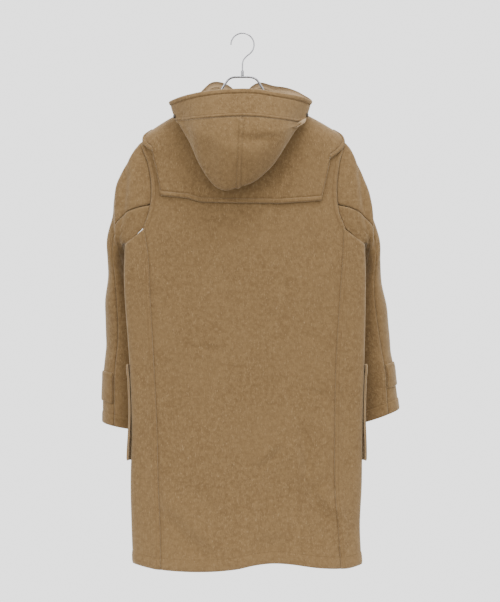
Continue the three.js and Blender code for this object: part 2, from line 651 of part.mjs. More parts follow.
// A point of a sleeve: at runs from the armhole (0) to the cuff (1), and angle runs round from the
// outer edge (0) over the back, the inner edge and the front
function sleevePoint(at, angle, side) {
  const read = sleeveSides[side];
  const line = (name) => {
    const point = read(Math.max(at, sleeveStart), name);
    point.x *= side;
    return point;
  };
  const [outer, inner] = [line('outer'), line('inner')];
  const centre = outer.clone().add(inner).multiplyScalar(0.5);
  const face = line(Math.sin(angle) > 0 ? 'back' : 'front').sub(centre);
  const oval = centre.clone()
    .addScaledVector(outer.clone().sub(centre), Math.cos(angle))
    .addScaledVector(face, Math.abs(Math.sin(angle)));
  const [start, quarter] = [Math.cos(angle) > 0 ? 0 : Math.PI, Math.sign(Math.sin(angle)) * (Math.PI / 2)];
  const point = armholePoint(angle, side);
  const moves = clamp(at / sleeveStart, 0, 1);
  const edge = (Math.cos(angle) > 0 ? outer : inner).clone().sub(armholePoint(start, side));
  const flat = face.add(centre).sub(armholePoint(quarter, side));
  point.addScaledVector(edge, moves * Math.cos(angle) ** 2);
  point.addScaledVector(flat, moves * Math.sin(angle) ** 2);
  point.lerp(oval, ease(0.12, 0.58, at));
  if (Math.cos(angle) < 0 && Math.sin(angle) > 0) {
    const shift = tuck(at, 'shift');
    shift.x *= side;
    point.addScaledVector(shift, Math.sin(2 * angle) ** 2);
  }
  return point;
}

// A point of a sleeve with its outward direction, taken over a wide step so that it turns smoothly
function sleeveSkin(at, angle, side) {
  const [turn, step] = [0.16, 0.035];
  const around = sleevePoint(at, angle + turn, side).sub(sleevePoint(at, angle - turn, side));
  const down = sleevePoint(Math.min(1, at + step), angle, side).sub(sleevePoint(Math.max(0, at - step), angle, side));
  return { point: sleevePoint(at, angle, side), out: around.cross(down).normalize().multiplyScalar(-side) };
}

function sleeveRows(side, part) {
  const columns = part === 'top' ? topColumns : underColumns;
  return sleevePlaces.map((at) => {
    const back = backSeam(at, 'angle');
    const [from, to] = part === 'top'
      ? [sleeveFrontSeam + seamTurn, back - seamTurn]
      : [back + seamTurn, 360 + sleeveFrontSeam - seamTurn];
    return spread(from, to, columns).map((angle) => sleeveSkin(at, radians(angle), side));
  });
}

const foldedHood = {
  1: follow(hoodLeft.slice(0, hoodLastFold + 1), 'at'),
  [-1]: follow([hoodLeft[0], ...hoodRight.slice(0, hoodLastFold)], 'at'),
};

add('back_panel', wall(backPanel()), colours.wool);
add('front_left', wall(frontPanel(1), { keep: inFront, flip: true }), colours.wool);
add('front_right', wall(frontPanel(-1), { keep: inFront }), colours.wool);

const yoke = liftRows(yokeRows(), clothThickness + yokeGap);
const lastShare = yokeShares.length - 1;
add('yoke', wall(yoke, { flip: true, raise: (j) => (j >= lastShare - 1 ? rolledEdgeHeight : 0) }), colours.wool);

const hoodPlaces = [0.012, ...spread(0.75, 6, 7), 6.6, 7.3, 8, 8.6, 9.3, 10, 10.5, 11];
const rightPlaces = hoodPlaces.map((at) => -at).reverse();
add('hood_left', wall(hoodRows(foldLevels, hoodPlaces), { flip: true }), colours.wool);
add('hood_right', wall(hoodRows(foldLevels, rightPlaces), { flip: true }), colours.wool);
const brimPlaces = [...rightPlaces, ...hoodPlaces];
const brim = hoodRows(brimLevels, brimPlaces);
add('hood_brim', wall(brim, { flip: true, raise: (j) => (j >= 2 ? rolledEdgeHeight : 0) }), colours.wool);

const tape = hoodRows([0.5, 1.2, 2, 2.7, 3.05, 3.5, 4.2, 4.9], [-tapeHalf, 0, tapeHalf]);
const tapeWall = wall(liftRows(tape, tapeThickness + overlayGap), { thickness: tapeThickness, flip: true });
add('hood_tape', tapeWall, colours.wool);

function hoodSnap(side) {
  const { point, out } = skin(hoodPoint, side * 4.75, 5.25, -1);
  const cap = add(`hood_snap_${side > 0 ? 'left' : 'right'}`, snapShape(), colours.snap, { roughness: 0.35 });
  cap.quaternion.setFromUnitVectors(new THREE.Vector3(0, 1, 0), out);
  cap.position.copy(point.addScaledVector(out, 2 * seamGap));
}

// A snap: a domed cap on a flat foot
function snapShape() {
  const profile = [[0, 0], [4.6, 0], [4.6, 1], [3.4, 2.2], [0, 2.8]].map(([x, y]) => new THREE.Vector2(x, y));
  return new THREE.LatheGeometry(profile, 12);
}

hoodSnap(1);
hoodSnap(-1);

for (const side of [1, -1]) {
  const name = side > 0 ? 'left' : 'right';
  add(`sleeve_${name}_top`, wall(sleeveRows(side, 'top'), { flip: side > 0 }), colours.wool);
  add(`sleeve_${name}_under`, wall(sleeveRows(side, 'under'), { flip: side > 0 }), colours.wool);
  add(`cuff_tab_${name}`, cuffTab(side), colours.wool);
  add(`pocket_${name}`, pocket(side), colours.wool);
}

// A strap round the outer edge of the cuff, from the back seam to the front
function cuffTab(side) {
  const [from, to] = side > 0 ? [0.825, 0.925] : [0.79, 0.892];
  const rows = spread(from, to, 3).map((at) => (
    spread(-70, backSeam(at, 'angle') - 3, 9).map((angle) => sleeveSkin(at, radians(angle), side))));
  const lift = liftRows(rows, tabThickness + overlayGap);
  return wall(lift, { thickness: tabThickness, flip: side > 0 });
}

// A patch pocket from just behind the side round to the front
function pocket(side) {
  const rows = spread(pocketTopZ, pocketBottomZ, 6).map((z) => {
    const cornerX = frontCorner(z, side);
    const cornerAngle = angleAtX(side * cornerX, z);
    const wrap = [0.16, 0, -sideShares[1], -sideShares[0], -1].map((share) => {
      const angle = share * cornerAngle;
      return torsoSkin(side > 0 ? angle : Math.PI - angle, z);
    });
    const across = spread(0.25, 1, 3).map((share) => sheetSkin(side * mix(cornerX, pocketInnerX, share), z, -1));
    return [...wrap, ...across];
  });
  const proud = (j, i) => {
    const edge = Math.max(0, 1 - i / 2);
    const corner = ease(4, 6, j);
    return clothThickness + overlayGap + edge * (pocketEdgeProud + pocketCornerProud * corner);
  };
  return wall(liftRows(rows, proud), { flip: side < 0 });
}

// The closure: toggles on the right front, held by loops sewn to the left one
function frontPatch(fromX, toX, z) {
  const rows = [z - patchHalfHeight, z + patchHalfHeight].map((level) => (
    spread(fromX, toX, 2).map((x) => {
      const spot = sheetSkin(x, level, -1);
      if (x > -frontOverlap) spot.point.y -= overlapLift(x);
      return spot;
    })));
  return wall(liftRows(rows, patchThickness + overlayGap), { thickness: patchThickness });
}

// The front of the coat where the fronts overlap, at the height z
const frontLevel = (z) => -body(z, 'front') - overlapLift(0);

function loopCord(z) {
  const y = frontLevel(z) - cordRadius - 2 * seamGap;
  const half = [[-4, 8], [-22, 8], [-44, 8], [-58, 7.4], [-65.5, 4.4]];
  const route = [...half, [-68, 0], ...half.map(([x, up]) => [x, -up]).reverse()];
  const points = route.map(([x, up]) => new THREE.Vector3(x, y, z + up));
  return tube(points, { radius: cordRadius, sides: 5, steps: 12 });
}

function toggleCord(z) {
  const y = frontLevel(z);
  const half = [[-76.6, 3, 2.8], [-74.6, -3, 2.8], [-71.4, -9, 2.6], [-68.6, -11.3, 1.6]];
  const route = [...half, [-67.4, -11.6, 0], ...half.map(([x, out, up]) => [x, out, -up]).reverse()];
  const points = route.map(([x, out, up]) => new THREE.Vector3(x, y + out, z + up));
  return tube(points, { radius: cordRadius * 0.8, sides: 5, steps: 10 });
}

// A turned wooden toggle with a waist for its cord
function toggleShape() {
  const half = toggleLength / 2;
  const outline = [[0, -half], [3.4, 0.6 - half], [5.6, -17], [toggleRadius, -9.5], [4.6, -2.5]];
  const mirrored = outline.map(([radius, along]) => [radius, -along]).reverse();
  const profile = [...outline, ...mirrored].map(([x, y]) => new THREE.Vector2(x, y));
  return new THREE.LatheGeometry(profile, 10).rotateX(Math.PI / 2);
}

toggleLevels.forEach((z, k) => {
  add(`loop_patch_${k + 1}`, frontPatch(-2, 44, z), colours.leather, { roughness: 0.6 });
  add(`toggle_patch_${k + 1}`, frontPatch(-122, -78, z), colours.leather, { roughness: 0.6 });
  add(`loop_cord_${k + 1}`, loopCord(z), colours.cord);
  add(`toggle_cord_${k + 1}`, toggleCord(z), colours.cord);
  const toggle = add(`toggle_${k + 1}`, toggleShape(), colours.wood, { roughness: 0.45 });
  toggle.position.set(toggleX, frontLevel(z) - 11.6, z);
});

// The hanger
const steel = { roughness: 0.3, metalness: 1 };

function hookPoints() {
  const centreZ = hookWire - hookRadius;
  const bow = spread(0, 228, 16).map((degrees) => {
    const angle = radians(degrees);
    return new THREE.Vector3(hookRadius * Math.cos(angle), 0, centreZ + hookRadius * Math.sin(angle));
  });
  const stem = [[-9.5, -50], [-3, -57.5], [-0.4, -65], [0, -73], [0, stemEndZ]];
  return [...bow, ...stem.map(([x, z]) => new THREE.Vector3(x, 0, z))];
}

// The frame: an arch that dives into the neck, then arms that bear the shoulders
function framePoints() {
  const arch = [[0, archZ], [18, archZ - 0.4], [29, archZ - 4], [37, archZ - 13], [54, -138], [66, -160]];
  const arm = (side) => [-170, -178, -188, -200, -214, -228].map((z) => {
    const slope = (halfWidth(z - 2, side) - halfWidth(z + 2, side)) / 4;
    const down = armBelowRidge / Math.hypot(1, slope);
    return new THREE.Vector3(side * (halfWidth(z, side) - down), 0, z - down * slope);
  });
  const half = (side) => [...arch.slice(1).map(([x, z]) => new THREE.Vector3(side * x, 0, z)), ...arm(side)];
  return [...half(-1).reverse(), new THREE.Vector3(0, 0, archZ), ...half(1)];
}

add('hanger_hook', tube(hookPoints(), { radius: hookWire, sides: 6, steps: 30 }), colours.steel, steel);
const ferruleHeight = stemEndZ - archZ - frameHalfHeight - 2 * seamGap;
const ferrule = add('hanger_ferrule', new THREE.CylinderGeometry(3.2, 3.6, ferruleHeight, 12), colours.steel, steel);
ferrule.rotation.x = Math.PI / 2;
ferrule.position.z = stemEndZ - seamGap - ferruleHeight / 2;
const frameSection = { radius: frameHalfDepth, wide: frameHalfHeight, sides: 6, steps: 38 };
add('hanger_frame', tube(framePoints(), frameSection), colours.steel, steel);

export default coat;
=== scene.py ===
"""A duffle coat of felted wool on a slim metal hanger, seen from behind.

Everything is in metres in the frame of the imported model: +Z up, +X towards the wearer's left,
and the coat's front faces -Y. The tables and surfaces work in millimetres.
"""

import math

import bpy
import numpy as np
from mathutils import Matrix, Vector


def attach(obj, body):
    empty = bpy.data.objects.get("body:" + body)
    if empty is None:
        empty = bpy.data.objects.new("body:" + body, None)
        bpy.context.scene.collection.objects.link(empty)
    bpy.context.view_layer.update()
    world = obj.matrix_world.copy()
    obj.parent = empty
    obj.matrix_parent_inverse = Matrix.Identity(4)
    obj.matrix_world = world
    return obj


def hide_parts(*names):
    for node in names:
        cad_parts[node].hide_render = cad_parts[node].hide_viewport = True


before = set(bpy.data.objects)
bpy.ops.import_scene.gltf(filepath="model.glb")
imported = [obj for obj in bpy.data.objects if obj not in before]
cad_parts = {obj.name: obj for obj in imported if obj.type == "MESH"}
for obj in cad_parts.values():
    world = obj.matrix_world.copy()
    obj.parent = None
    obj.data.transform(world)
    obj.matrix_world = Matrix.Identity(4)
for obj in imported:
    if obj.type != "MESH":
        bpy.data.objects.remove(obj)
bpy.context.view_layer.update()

MM = 0.001
CLOTH = 3.0  # thickness of the wool, in millimetres
ROUNDNESS = 2.1  # exponent of the flattened oval that every level of the body follows
SHOULDER_TIP_Z = -238
UNDERARM_Z = -474
ARMHOLE_STEPS = 12
JUNCTION_STEP = 9
NECK_HALF_WIDTH = 82
NECK_SIDE_Z = -163
NECK_BACK_DROP = 9
NECK_FRONT_DROP = 49
FRONT_OVERLAP = 38
YOKE_LIFT = 5.4
HOOD_SEAT = 11.0
POCKET_TOP_Z = -742
POCKET_BOTTOM_Z = -958
POCKET_INNER_X = 92
LAST_FOLD = 6
SLEEVE_GAP = 0.4
SLEEVE_START = 0.08  # the first station of a sleeve below its seam
SLEEVE_FRONT_SEAM = -120
TOGGLE_LEVELS = (-372, -480, -588, -696)


def table(names, rows):
    """Rows of numbers or points as a list of dictionaries with named columns."""
    return [dict(zip(names.split(), row)) for row in rows]


# Levels of the body, from hem to neck. left and right are half widths at the side, seam_left and
# seam_right are where the side seams lie on the back, back and front are half depths, and curl is
# how far the side edges turn back.
BODY_LEVELS = table("z left right seam_left seam_right back front curl", [
    (-1215, 245, 270, 186, 225, 62, 50, 6),
    (-1110, 249, 264, 187, 218, 61, 50, 8),
    (-1010, 251, 268, 191, 210, 60, 50, 11),
    (-884, 248, 269, 194, 210, 58, 50, 15),
    (-742, 253, 273, 201, 212, 57, 49, 19),
    (-578, 264, 276, 210, 222, 57, 48, 23),
    (-506, 264, 275, 213, 227, 56, 48, 24),
    (-440, 260, 271, 222, 230, 55, 48, 20),
    (-380, 255, 263, 222, 230, 54, 50, 10),
    (-300, 249, 254, 222, 230, 51, 52, 0),
    (-254, 237, 239, 222, 230, 50, 54, 0),
    (-238, 224, 226, 222, 230, 49.5, 56, 0),
    (-229, 213, 215, 222, 230, 49, 57, 0),
    (-191, 152, 149, 222, 230, 48, 60, 0),
    (-163, 82, 82, 222, 230, 46, 58, 0),
])

ARMHOLE_LEVELS = table("z back_left back_right front_left front_right", [
    (-440, 222, 230, 226, 236),
    (-400, 208, 215, 205, 212),
    (-352, 203, 211, 195, 203),
    (-295, 211, 217, 204, 210),
    (-255, 226, 227, 223, 224),
    (-238, 224, 226, 224, 226),
])

HEM_LINE = table("x z", [
    (-270, -1190), (-232, -1197), (-165, -1193), (-107, -1185), (-66, -1183),
    (-26, -1187), (15, -1195), (75, -1201), (190, -1198), (245, -1188),
])

# Creases of the back: a line from x0, z0 to x1, z1 that bows sideways by bow, with half its width
# at which it dies out, and its height, negative for a trough
BACK_CREASES = table("x0 z0 x1 z1 bow width height", [
    (187, -1022, 50, -1160, -8, 26, 7.5),
    (172, -1055, 66, -1170, -6, 30, -8),
    (150, -1000, 60, -1080, 6, 30, -3),
    (-121, -864, -143, -1001, 10, 17, -6),
    (-143, -1001, -206, -1104, -8, 22, -7.5),
    (-98, -900, -118, -1010, 8, 24, 4),
    (-165, -1010, -225, -1090, 0, 26, 5),
    (-24, -985, -98, -924, 0, 9, -3),
    (-20, -965, -92, -905, 0, 12, 2.4),
    (-150, -802, -193, -828, 6, 9, -3.2),
    (-132, -676, -172, -694, 4, 9, -2.4),
    (136, -708, 40, -715, 6, 8, -1.6),
    (147, -828, 166, -884, 4, 8, -2.2),
    (147, -828, 118, -872, -4, 8, -2.0),
    (-86, -560, -110, -580, 0, 7, -2.4),
    (-150, -1005, -208, -1050, 4, 8, -2.2),
    (-170, -1000, -214, -1024, 4, 7, -1.8),
    (120, -1160, 118, -1215, 0, 60, 4),
    (-60, -1110, -66, -1215, 0, 60, -6),
    (-170, -1130, -180, -1215, 0, 40, 4),
    (10, -1120, 16, -1215, 0, 40, 4),
    (150, -420, 175, -560, 10, 30, 2.2),
    (-150, -430, -190, -560, -10, 30, -2.2),
    (205, -470, 120, -620, 12, 34, -2.6),
    (-210, -480, -130, -640, -12, 34, 2.4),
    (40, -560, 90, -900, 20, 50, -2.0),
    (-60, -640, -30, -900, -14, 46, 2.0),
    (190, -640, 200, -900, 6, 22, 2.0),
    (-190, -720, -196, -960, 6, 20, 2.2),
])

# Creases of the two fronts, in the same columns
FRONT_CREASES = table("x0 z0 x1 z1 bow width height", [
    (60, -420, 190, -560, 10, 34, -3),
    (-70, -430, -200, -560, -10, 34, -3),
    (120, -620, 200, -720, 6, 26, 2.4),
    (-130, -640, -210, -720, -6, 26, 2.4),
    (70, -980, 120, -1200, 12, 46, 5),
    (-90, -980, -150, -1200, -12, 46, -5),
    (190, -1000, 210, -1200, 0, 40, -5),
    (-210, -1000, -220, -1200, 0, 36, 4),
    (20, -500, 90, -520, 4, 14, -2.0),
    (20, -610, 100, -640, 4, 14, -2.0),
    (-20, -760, -80, -900, 6, 30, 2.6),
])

# The yoke's outline, from the left front edge round the back to the right front. neck is the x of
# the neckline point that each outline point is drawn from, and face is 1 on the back.
YOKE_OUTLINE = table("x z face neck", [
    (-38, -332, -1, -38), (30, -334, -1, 8), (100, -334, -1, 34), (166, -330, -1, 56),
    (182, -290, -1, 66), (196, -255, -1, 74), (207, -225, 0, 82), (199, -268, 1, 78),
    (189, -315, 1, 73), (180, -367, 1, 66), (123, -373, 1, 44), (92, -382, 1, 32),
    (8, -384, 1, 3), (-80, -385, 1, -28), (-175, -378, 1, -64), (-186, -328, 1, -72),
    (-193, -285, 1, -77), (-208, -225, 0, -82), (-196, -255, -1, -74), (-182, -290, -1, -66),
    (-166, -330, -1, -58), (-100, -334, -1, -51), (-46, -333, -1, -46),
])

# Stations of the hood, from the centre back (0) to the throat (11). neck is the angle round the
# neckline; the other columns are points up the cloth, from the neck to the rim.
HOOD_LINES = ("roll", "lay", "bottom", "belly", "seam")
HOOD_LEFT = table("at neck roll lay bottom belly seam rim", [
    (0, 90, (1, 66, -166), (3, 66, -250), (8, 100, -353), (4, 138, -268), (0, 132, -200), (0, 118, -138)),
    (1, 76, (24, 65, -165), (34, 66, -255), (38, 100, -361), (36, 138, -275),
     (34, 131, -201), (34, 117, -139)),
    (2, 62, (44, 60, -163), (62, 64, -245), (66, 97, -347), (64, 132, -262),
     (68, 127, -203), (68, 115, -142)),
    (3, 48, (62, 52, -160), (86, 62, -225), (92, 94, -306), (90, 122, -246),
     (102, 112, -204), (102, 104, -146)),
    (4, 33, (78, 40, -157), (108, 56, -200), (114, 86, -256),
     (116, 100, -228), (128, 88, -204), (136, 84, -152)),
    (5, 16, (92, 22, -152), (124, 42, -172), (136, 66, -205), (143, 68, -206),
     (149, 62, -199), (162, 50, -158)),
    (6, -4, (93, 2, -152), (108, 6, -158), (122, 10, -166), (131, 11, -170),
     (139, 11, -172), (146, 4, -148)),
])
HOOD_RIGHT = table("at neck roll lay bottom belly seam rim", [
    (0, 90, (1, 66, -166), (3, 66, -250), (8, 100, -353), (4, 138, -268), (0, 132, -200), (0, 118, -138)),
    (1, 76, (-24, 65, -165), (-28, 66, -248), (-26, 99, -340),
     (-28, 138, -262), (-34, 131, -201), (-34, 117, -139)),
    (2, 62, (-44, 60, -163), (-55, 64, -235), (-60, 96, -309),
     (-60, 131, -250), (-66, 126, -204), (-68, 113, -144)),
    (3, 48, (-62, 52, -160), (-80, 62, -212), (-89, 91, -268),
     (-90, 119, -236), (-98, 110, -206), (-102, 101, -148)),
    (4, 33, (-78, 40, -157), (-104, 56, -192), (-113, 82, -232),
     (-116, 98, -218), (-124, 84, -206), (-134, 82, -152)),
    (5, 16, (-92, 22, -152), (-120, 42, -170), (-132, 64, -198),
     (-138, 65, -199), (-143, 60, -194), (-155, 50, -156)),
    (6, -4, (-93, 2, -152), (-108, 6, -158), (-120, 10, -166),
     (-128, 11, -170), (-135, 11, -171), (-142, 2, -140)),
])
# The stations in front of the shoulder, where the cloth stands straight up from the neckline
THROAT_LEFT = table("at neck rim", [
    (6, -4, (146, 4, -148)), (7, -25, (108, -32, -136)), (8, -42, (70, -50, -102)),
    (9, -57, (32, -58, -108)), (10, -69, (8, -66, -138)), (11, -80, (12, -73, -190)),
])
THROAT_RIGHT = table("at neck rim", [
    (6, -4, (-142, 2, -140)), (7, -25, (-106, -33, -118)), (8, -42, (-72, -49, -110)),
    (9, -57, (-36, -58, -102)), (10, -69, (-10, -65, -126)), (11, -80, (-12, -73, -190)),
])

# Stations of each sleeve from the armhole to the cuff. x is measured outward.
SLEEVE_LEFT = table("at outer inner back front", [
    (0.08, (241, -2, -259), (266, 17, -473), (233, 36, -370), (212, -44, -360)),
    (0.16, (257, -5, -290), (270, 9, -474), (260, 31, -388), (224, -58, -376)),
    (0.26, (272, -10, -335), (268, -9, -483), (281, 21, -418), (236, -78, -405)),
    (0.36, (287, -18, -398), (262, -30, -502), (290, 9, -455), (246, -98, -444)),
    (0.46, (300, -28, -462), (254, -48, -530), (290, 1, -504), (254, -112, -490)),
    (0.58, (309, -42, -560), (240, -68, -590), (276, -14, -580), (264, -118, -566)),
    (0.72, (313, -54, -684), (214, -90, -690), (254, -28, -692), (268, -120, -686)),
    (0.86, (318, -60, -784), (210, -104, -792), (252, -38, -794), (274, -122, -788)),
    (1, (320, -64, -878), (216, -108, -895), (256, -43, -893), (280, -118, -884)),
])
SLEEVE_RIGHT = table("at outer inner back front", [
    (0.08, (242, -2, -258), (277, 17, -473), (240, 36, -370), (218, -44, -360)),
    (0.16, (256, -5, -292), (280, 9, -474), (266, 31, -390), (230, -58, -380)),
    (0.26, (270, -10, -345), (277, -9, -483), (288, 21, -422), (242, -78, -410)),
    (0.36, (288, -18, -400), (271, -30, -502), (297, 9, -459), (252, -98, -446)),
    (0.46, (304, -28, -466), (265, -48, -528), (298, 1, -506), (262, -112, -492)),
    (0.58, (321, -42, -572), (256, -68, -588), (288, -14, -586), (278, -118, -574)),
    (0.72, (338, -54, -696), (244, -88, -694), (287, -26, -702), (296, -118, -696)),
    (0.86, (348, -60, -776), (248, -100, -792), (290, -36, -790), (308, -118, -784)),
    (1, (358, -62, -848), (257, -102, -884), (297, -42, -872), (318, -112, -860)),
])
# How far the cloth below the back of the armhole stands out, x outward
SLEEVE_TUCK = table("at shift", [
    (0, (0, 0, 0)), (0.08, (3, 0, 6)), (0.16, (9, 0, 12)), (0.26, (12, 2, 10)), (0.36, (6, 2, 5)),
    (0.46, (0, 0, 0)), (1, (0, 0, 0)),
])
SLEEVE_BACK_SEAM = table("at angle", [(0, 105), (0.3, 92), (0.58, 72), (0.8, 48), (1, 50)])

# Folds across a sleeve: at and angle of the middle, its reach along and round the sleeve, the
# slant of the fold and its height
SLEEVE_FOLDS = table("at angle along round slant height", [
    (0.10, 60, 0.030, 55, 0.05, 3.0), (0.17, 70, 0.030, 50, 0.06, -4.0), (0.26, 60, 0.040, 60, 0.04, 3.5),
    (0.36, 50, 0.035, 60, -0.03, -3.5), (0.46, 40, 0.035, 60, 0.04, 3.0),
     (0.55, 30, 0.030, 55, -0.04, -3.0),
    (0.63, 20, 0.030, 60, 0.03, 2.5), (0.74, 30, 0.030, 60, -0.02, -2.5), (0.84, 40, 0.025, 50, 0.03, 1.8),
    (0.40, -80, 0.030, 60, 0.05, -3.5), (0.48, -70, 0.030, 60, -0.04, 3.5),
     (0.57, -80, 0.030, 60, 0.03, -3.0),
    (0.68, -60, 0.035, 60, -0.03, 2.5), (0.50, 170, 0.03, 50, 0.04, -2.5),
     (0.62, 180, 0.03, 50, -0.04, 2.5),
])


# Smooth curves and small helpers, all for arrays


def mix(a, b, t):
    return a + (b - a) * t


def ease(low, high, value):
    t = np.clip((value - low) / (high - low), 0, 1)
    return t * t * (3 - 2 * t)


def follow(rows, key):
    """A smooth curve through the rows of a table: reader(places, column) gives numbers or points."""
    places = np.array([row[key] for row in rows], float)
    last = len(rows) - 1
    before = np.maximum(np.arange(last + 1) - 1, 0)
    after = np.minimum(np.arange(last + 1) + 1, last)

    def reader(place, column):
        values = np.array([row[column] for row in rows], float)
        gaps = places[after] - places[before]
        slopes = (values[after] - values[before]) / gaps.reshape((-1,) + (1,) * (values.ndim - 1))
        at = np.clip(np.asarray(place, float), places[0], places[-1])
        k = np.clip(np.searchsorted(places, at, side="right") - 1, 0, last - 1)
        span = places[k + 1] - places[k]
        t = (at - places[k]) / span
        if values.ndim > 1:
            span, t = span[..., None], t[..., None]
        curve = (1 + 2 * t) * (1 - t) ** 2 * values[k] + t * t * (3 - 2 * t) * values[k + 1]
        return curve + span * t * (1 - t) * ((1 - t) * slopes[k] - t * slopes[k + 1])

    return reader


def points(x, y, z):
    return np.stack(np.broadcast_arrays(np.asarray(x, float), y, z), axis=-1)


def unit(vectors):
    return vectors / np.maximum(np.linalg.norm(vectors, axis=-1, keepdims=True), 1e-9)


body = follow(BODY_LEVELS, "z")
armhole = follow(ARMHOLE_LEVELS, "z")
hem = follow(HEM_LINE, "x")


def half_width(z, side):
    return np.where(np.asarray(side) > 0, body(z, "left"), body(z, "right"))


def seam_at(z, side):
    return np.where(np.asarray(side) > 0, body(z, "seam_left"), body(z, "seam_right"))


def armhole_edge(z, side, face):
    name = ("back_" if face > 0 else "front_") + ("left" if side > 0 else "right")
    return armhole(z, name)


def crease_relief(x, z, creases):
    """How far a panel stands out at the creases of a table."""
    relief = np.zeros_like(x)
    for row in creases:
        along = np.array([row["x1"] - row["x0"], row["z1"] - row["z0"]], float)
        length = np.hypot(*along)
        along /= length
        t = ((x - row["x0"]) * along[0] + (z - row["z0"]) * along[1]) / length
        across = (x - row["x0"]) * along[1] - (z - row["z0"]) * along[0]
        inside = np.clip(t, 0, 1)
        away = across - row["bow"] * 4 * inside * (1 - inside)
        beyond = (t - inside) * length
        shape = np.exp(-1.6 * (away ** 2 + beyond ** 2) / row["width"] ** 2)
        relief += row["height"] * shape * ease(-0.02, 0.3, t) * (1 - ease(0.7, 1.02, t) * 0.7)
    return relief


def undulation(a, b, seed, size):
    """The gentle unevenness of hanging wool: a few waves in chosen directions."""
    rng = np.random.default_rng(seed)
    total = np.zeros_like(a)
    for _ in range(14):
        length = rng.uniform(60, 260)
        turn = rng.uniform(0, 2 * math.pi)
        phase = rng.uniform(0, 2 * math.pi)
        wave = np.sin(2 * math.pi * (a * math.cos(turn) + b * math.sin(turn)) / length + phase)
        total += wave * length / 260
    return size * total / 3


def side_curl(share, z):
    return body(z, "curl") * np.minimum(1, share) ** 5


def depth_relief(x, z, face, inside):
    calm = ease(0, 0.35, inside) * ease(-200, -330, z)
    back = crease_relief(x, z, BACK_CREASES) + undulation(x, z, 5, 0.9)
    front = crease_relief(x, z, FRONT_CREASES) + undulation(x, z, 9, 0.8)
    return np.where(face > 0, back, front) * calm


def torso(angle, z):
    """A point round the body: angle 0 is the left side, a right angle the middle of the back."""
    angle, z = np.broadcast_arrays(np.asarray(angle, float), np.asarray(z, float))
    side = np.where(np.cos(angle) < 0, -1, 1)
    across = np.abs(np.cos(angle)) ** (2 / ROUNDNESS)
    inside = 1 - across ** ROUNDNESS
    face = np.where(np.sin(angle) < 0, -1, 1)
    x = side * half_width(z, side) * across
    depth = np.where(face > 0, body(z, "back"), body(z, "front"))
    depth = depth * np.abs(np.sin(angle)) ** (2 / ROUNDNESS) + depth_relief(x, z, face, inside)
    return points(x, face * depth + side_curl(across, z), z)


def angle_at_x(x, z):
    share = np.minimum(1, np.abs(x) / half_width(z, np.where(np.asarray(x) < 0, -1, 1)))
    return np.arccos(share ** (ROUNDNESS / 2))


def angle_of(x, z, face, left_half):
    """The angle round the body of a point of the plan."""
    angle = angle_at_x(x, z)
    on_back = np.where(x < 0, math.pi - angle, angle)
    on_left = np.where(x < 0, angle - math.pi, -angle)
    return np.where(face > 0, on_back, np.where(left_half, on_left, math.pi + angle))


def skin(surface, u, v, turn=1, step=0.004):
    """Points of a surface with their outward directions."""
    u, v = np.broadcast_arrays(np.asarray(u, float), np.asarray(v, float))
    across = surface(u + step, v) - surface(u - step, v)
    along = surface(u, v + step) - surface(u, v - step)
    return surface(u, v), unit(np.cross(across, along)) * turn


def torso_skin(angle, z):
    def surface(u, v):
        return torso(u, v)

    return skin(surface, angle, z)


def armhole_z(step):
    return mix(SHOULDER_TIP_Z, UNDERARM_Z, (1 - np.cos(np.pi * np.asarray(step) / ARMHOLE_STEPS)) / 2)


JUNCTION_Z = float(armhole_z(JUNCTION_STEP))


def underarm_share(z):
    return np.sqrt(np.clip((z - UNDERARM_Z) / (JUNCTION_Z - UNDERARM_Z), 0, 1))


def front_corner(z, side):
    share = armhole_edge(JUNCTION_Z, side, -1) / half_width(JUNCTION_Z, side)
    return share * half_width(z, side)


def neck_z(x, face):
    drop = NECK_BACK_DROP if face > 0 else NECK_FRONT_DROP
    return NECK_SIDE_Z - drop * (1 - np.clip(np.abs(x) / NECK_HALF_WIDTH, 0, 1) ** 2)


def overlap_lift(x):
    """The left front lies over the right one past this line."""
    return (CLOTH + 1.5) * (1 - ease(46, 84, x))


# Meshes


def new_object(name, vertices, faces, node, material):
    mesh = bpy.data.meshes.new(name)
    mesh.from_pydata([tuple(v) for v in np.asarray(vertices) * MM], [], faces)
    mesh.polygons.foreach_set("use_smooth", [True] * len(mesh.polygons))
    mesh.update()
    piece = bpy.data.objects.new(name, mesh)
    bpy.context.scene.collection.objects.link(piece)
    piece.data.materials.append(material)
    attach(piece, "root")
    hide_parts(node)
    return piece


def add_attribute(piece, name, values):
    attribute = piece.data.attributes.new(name, "FLOAT", "POINT")
    attribute.data.foreach_set("value", np.asarray(values, np.float32))


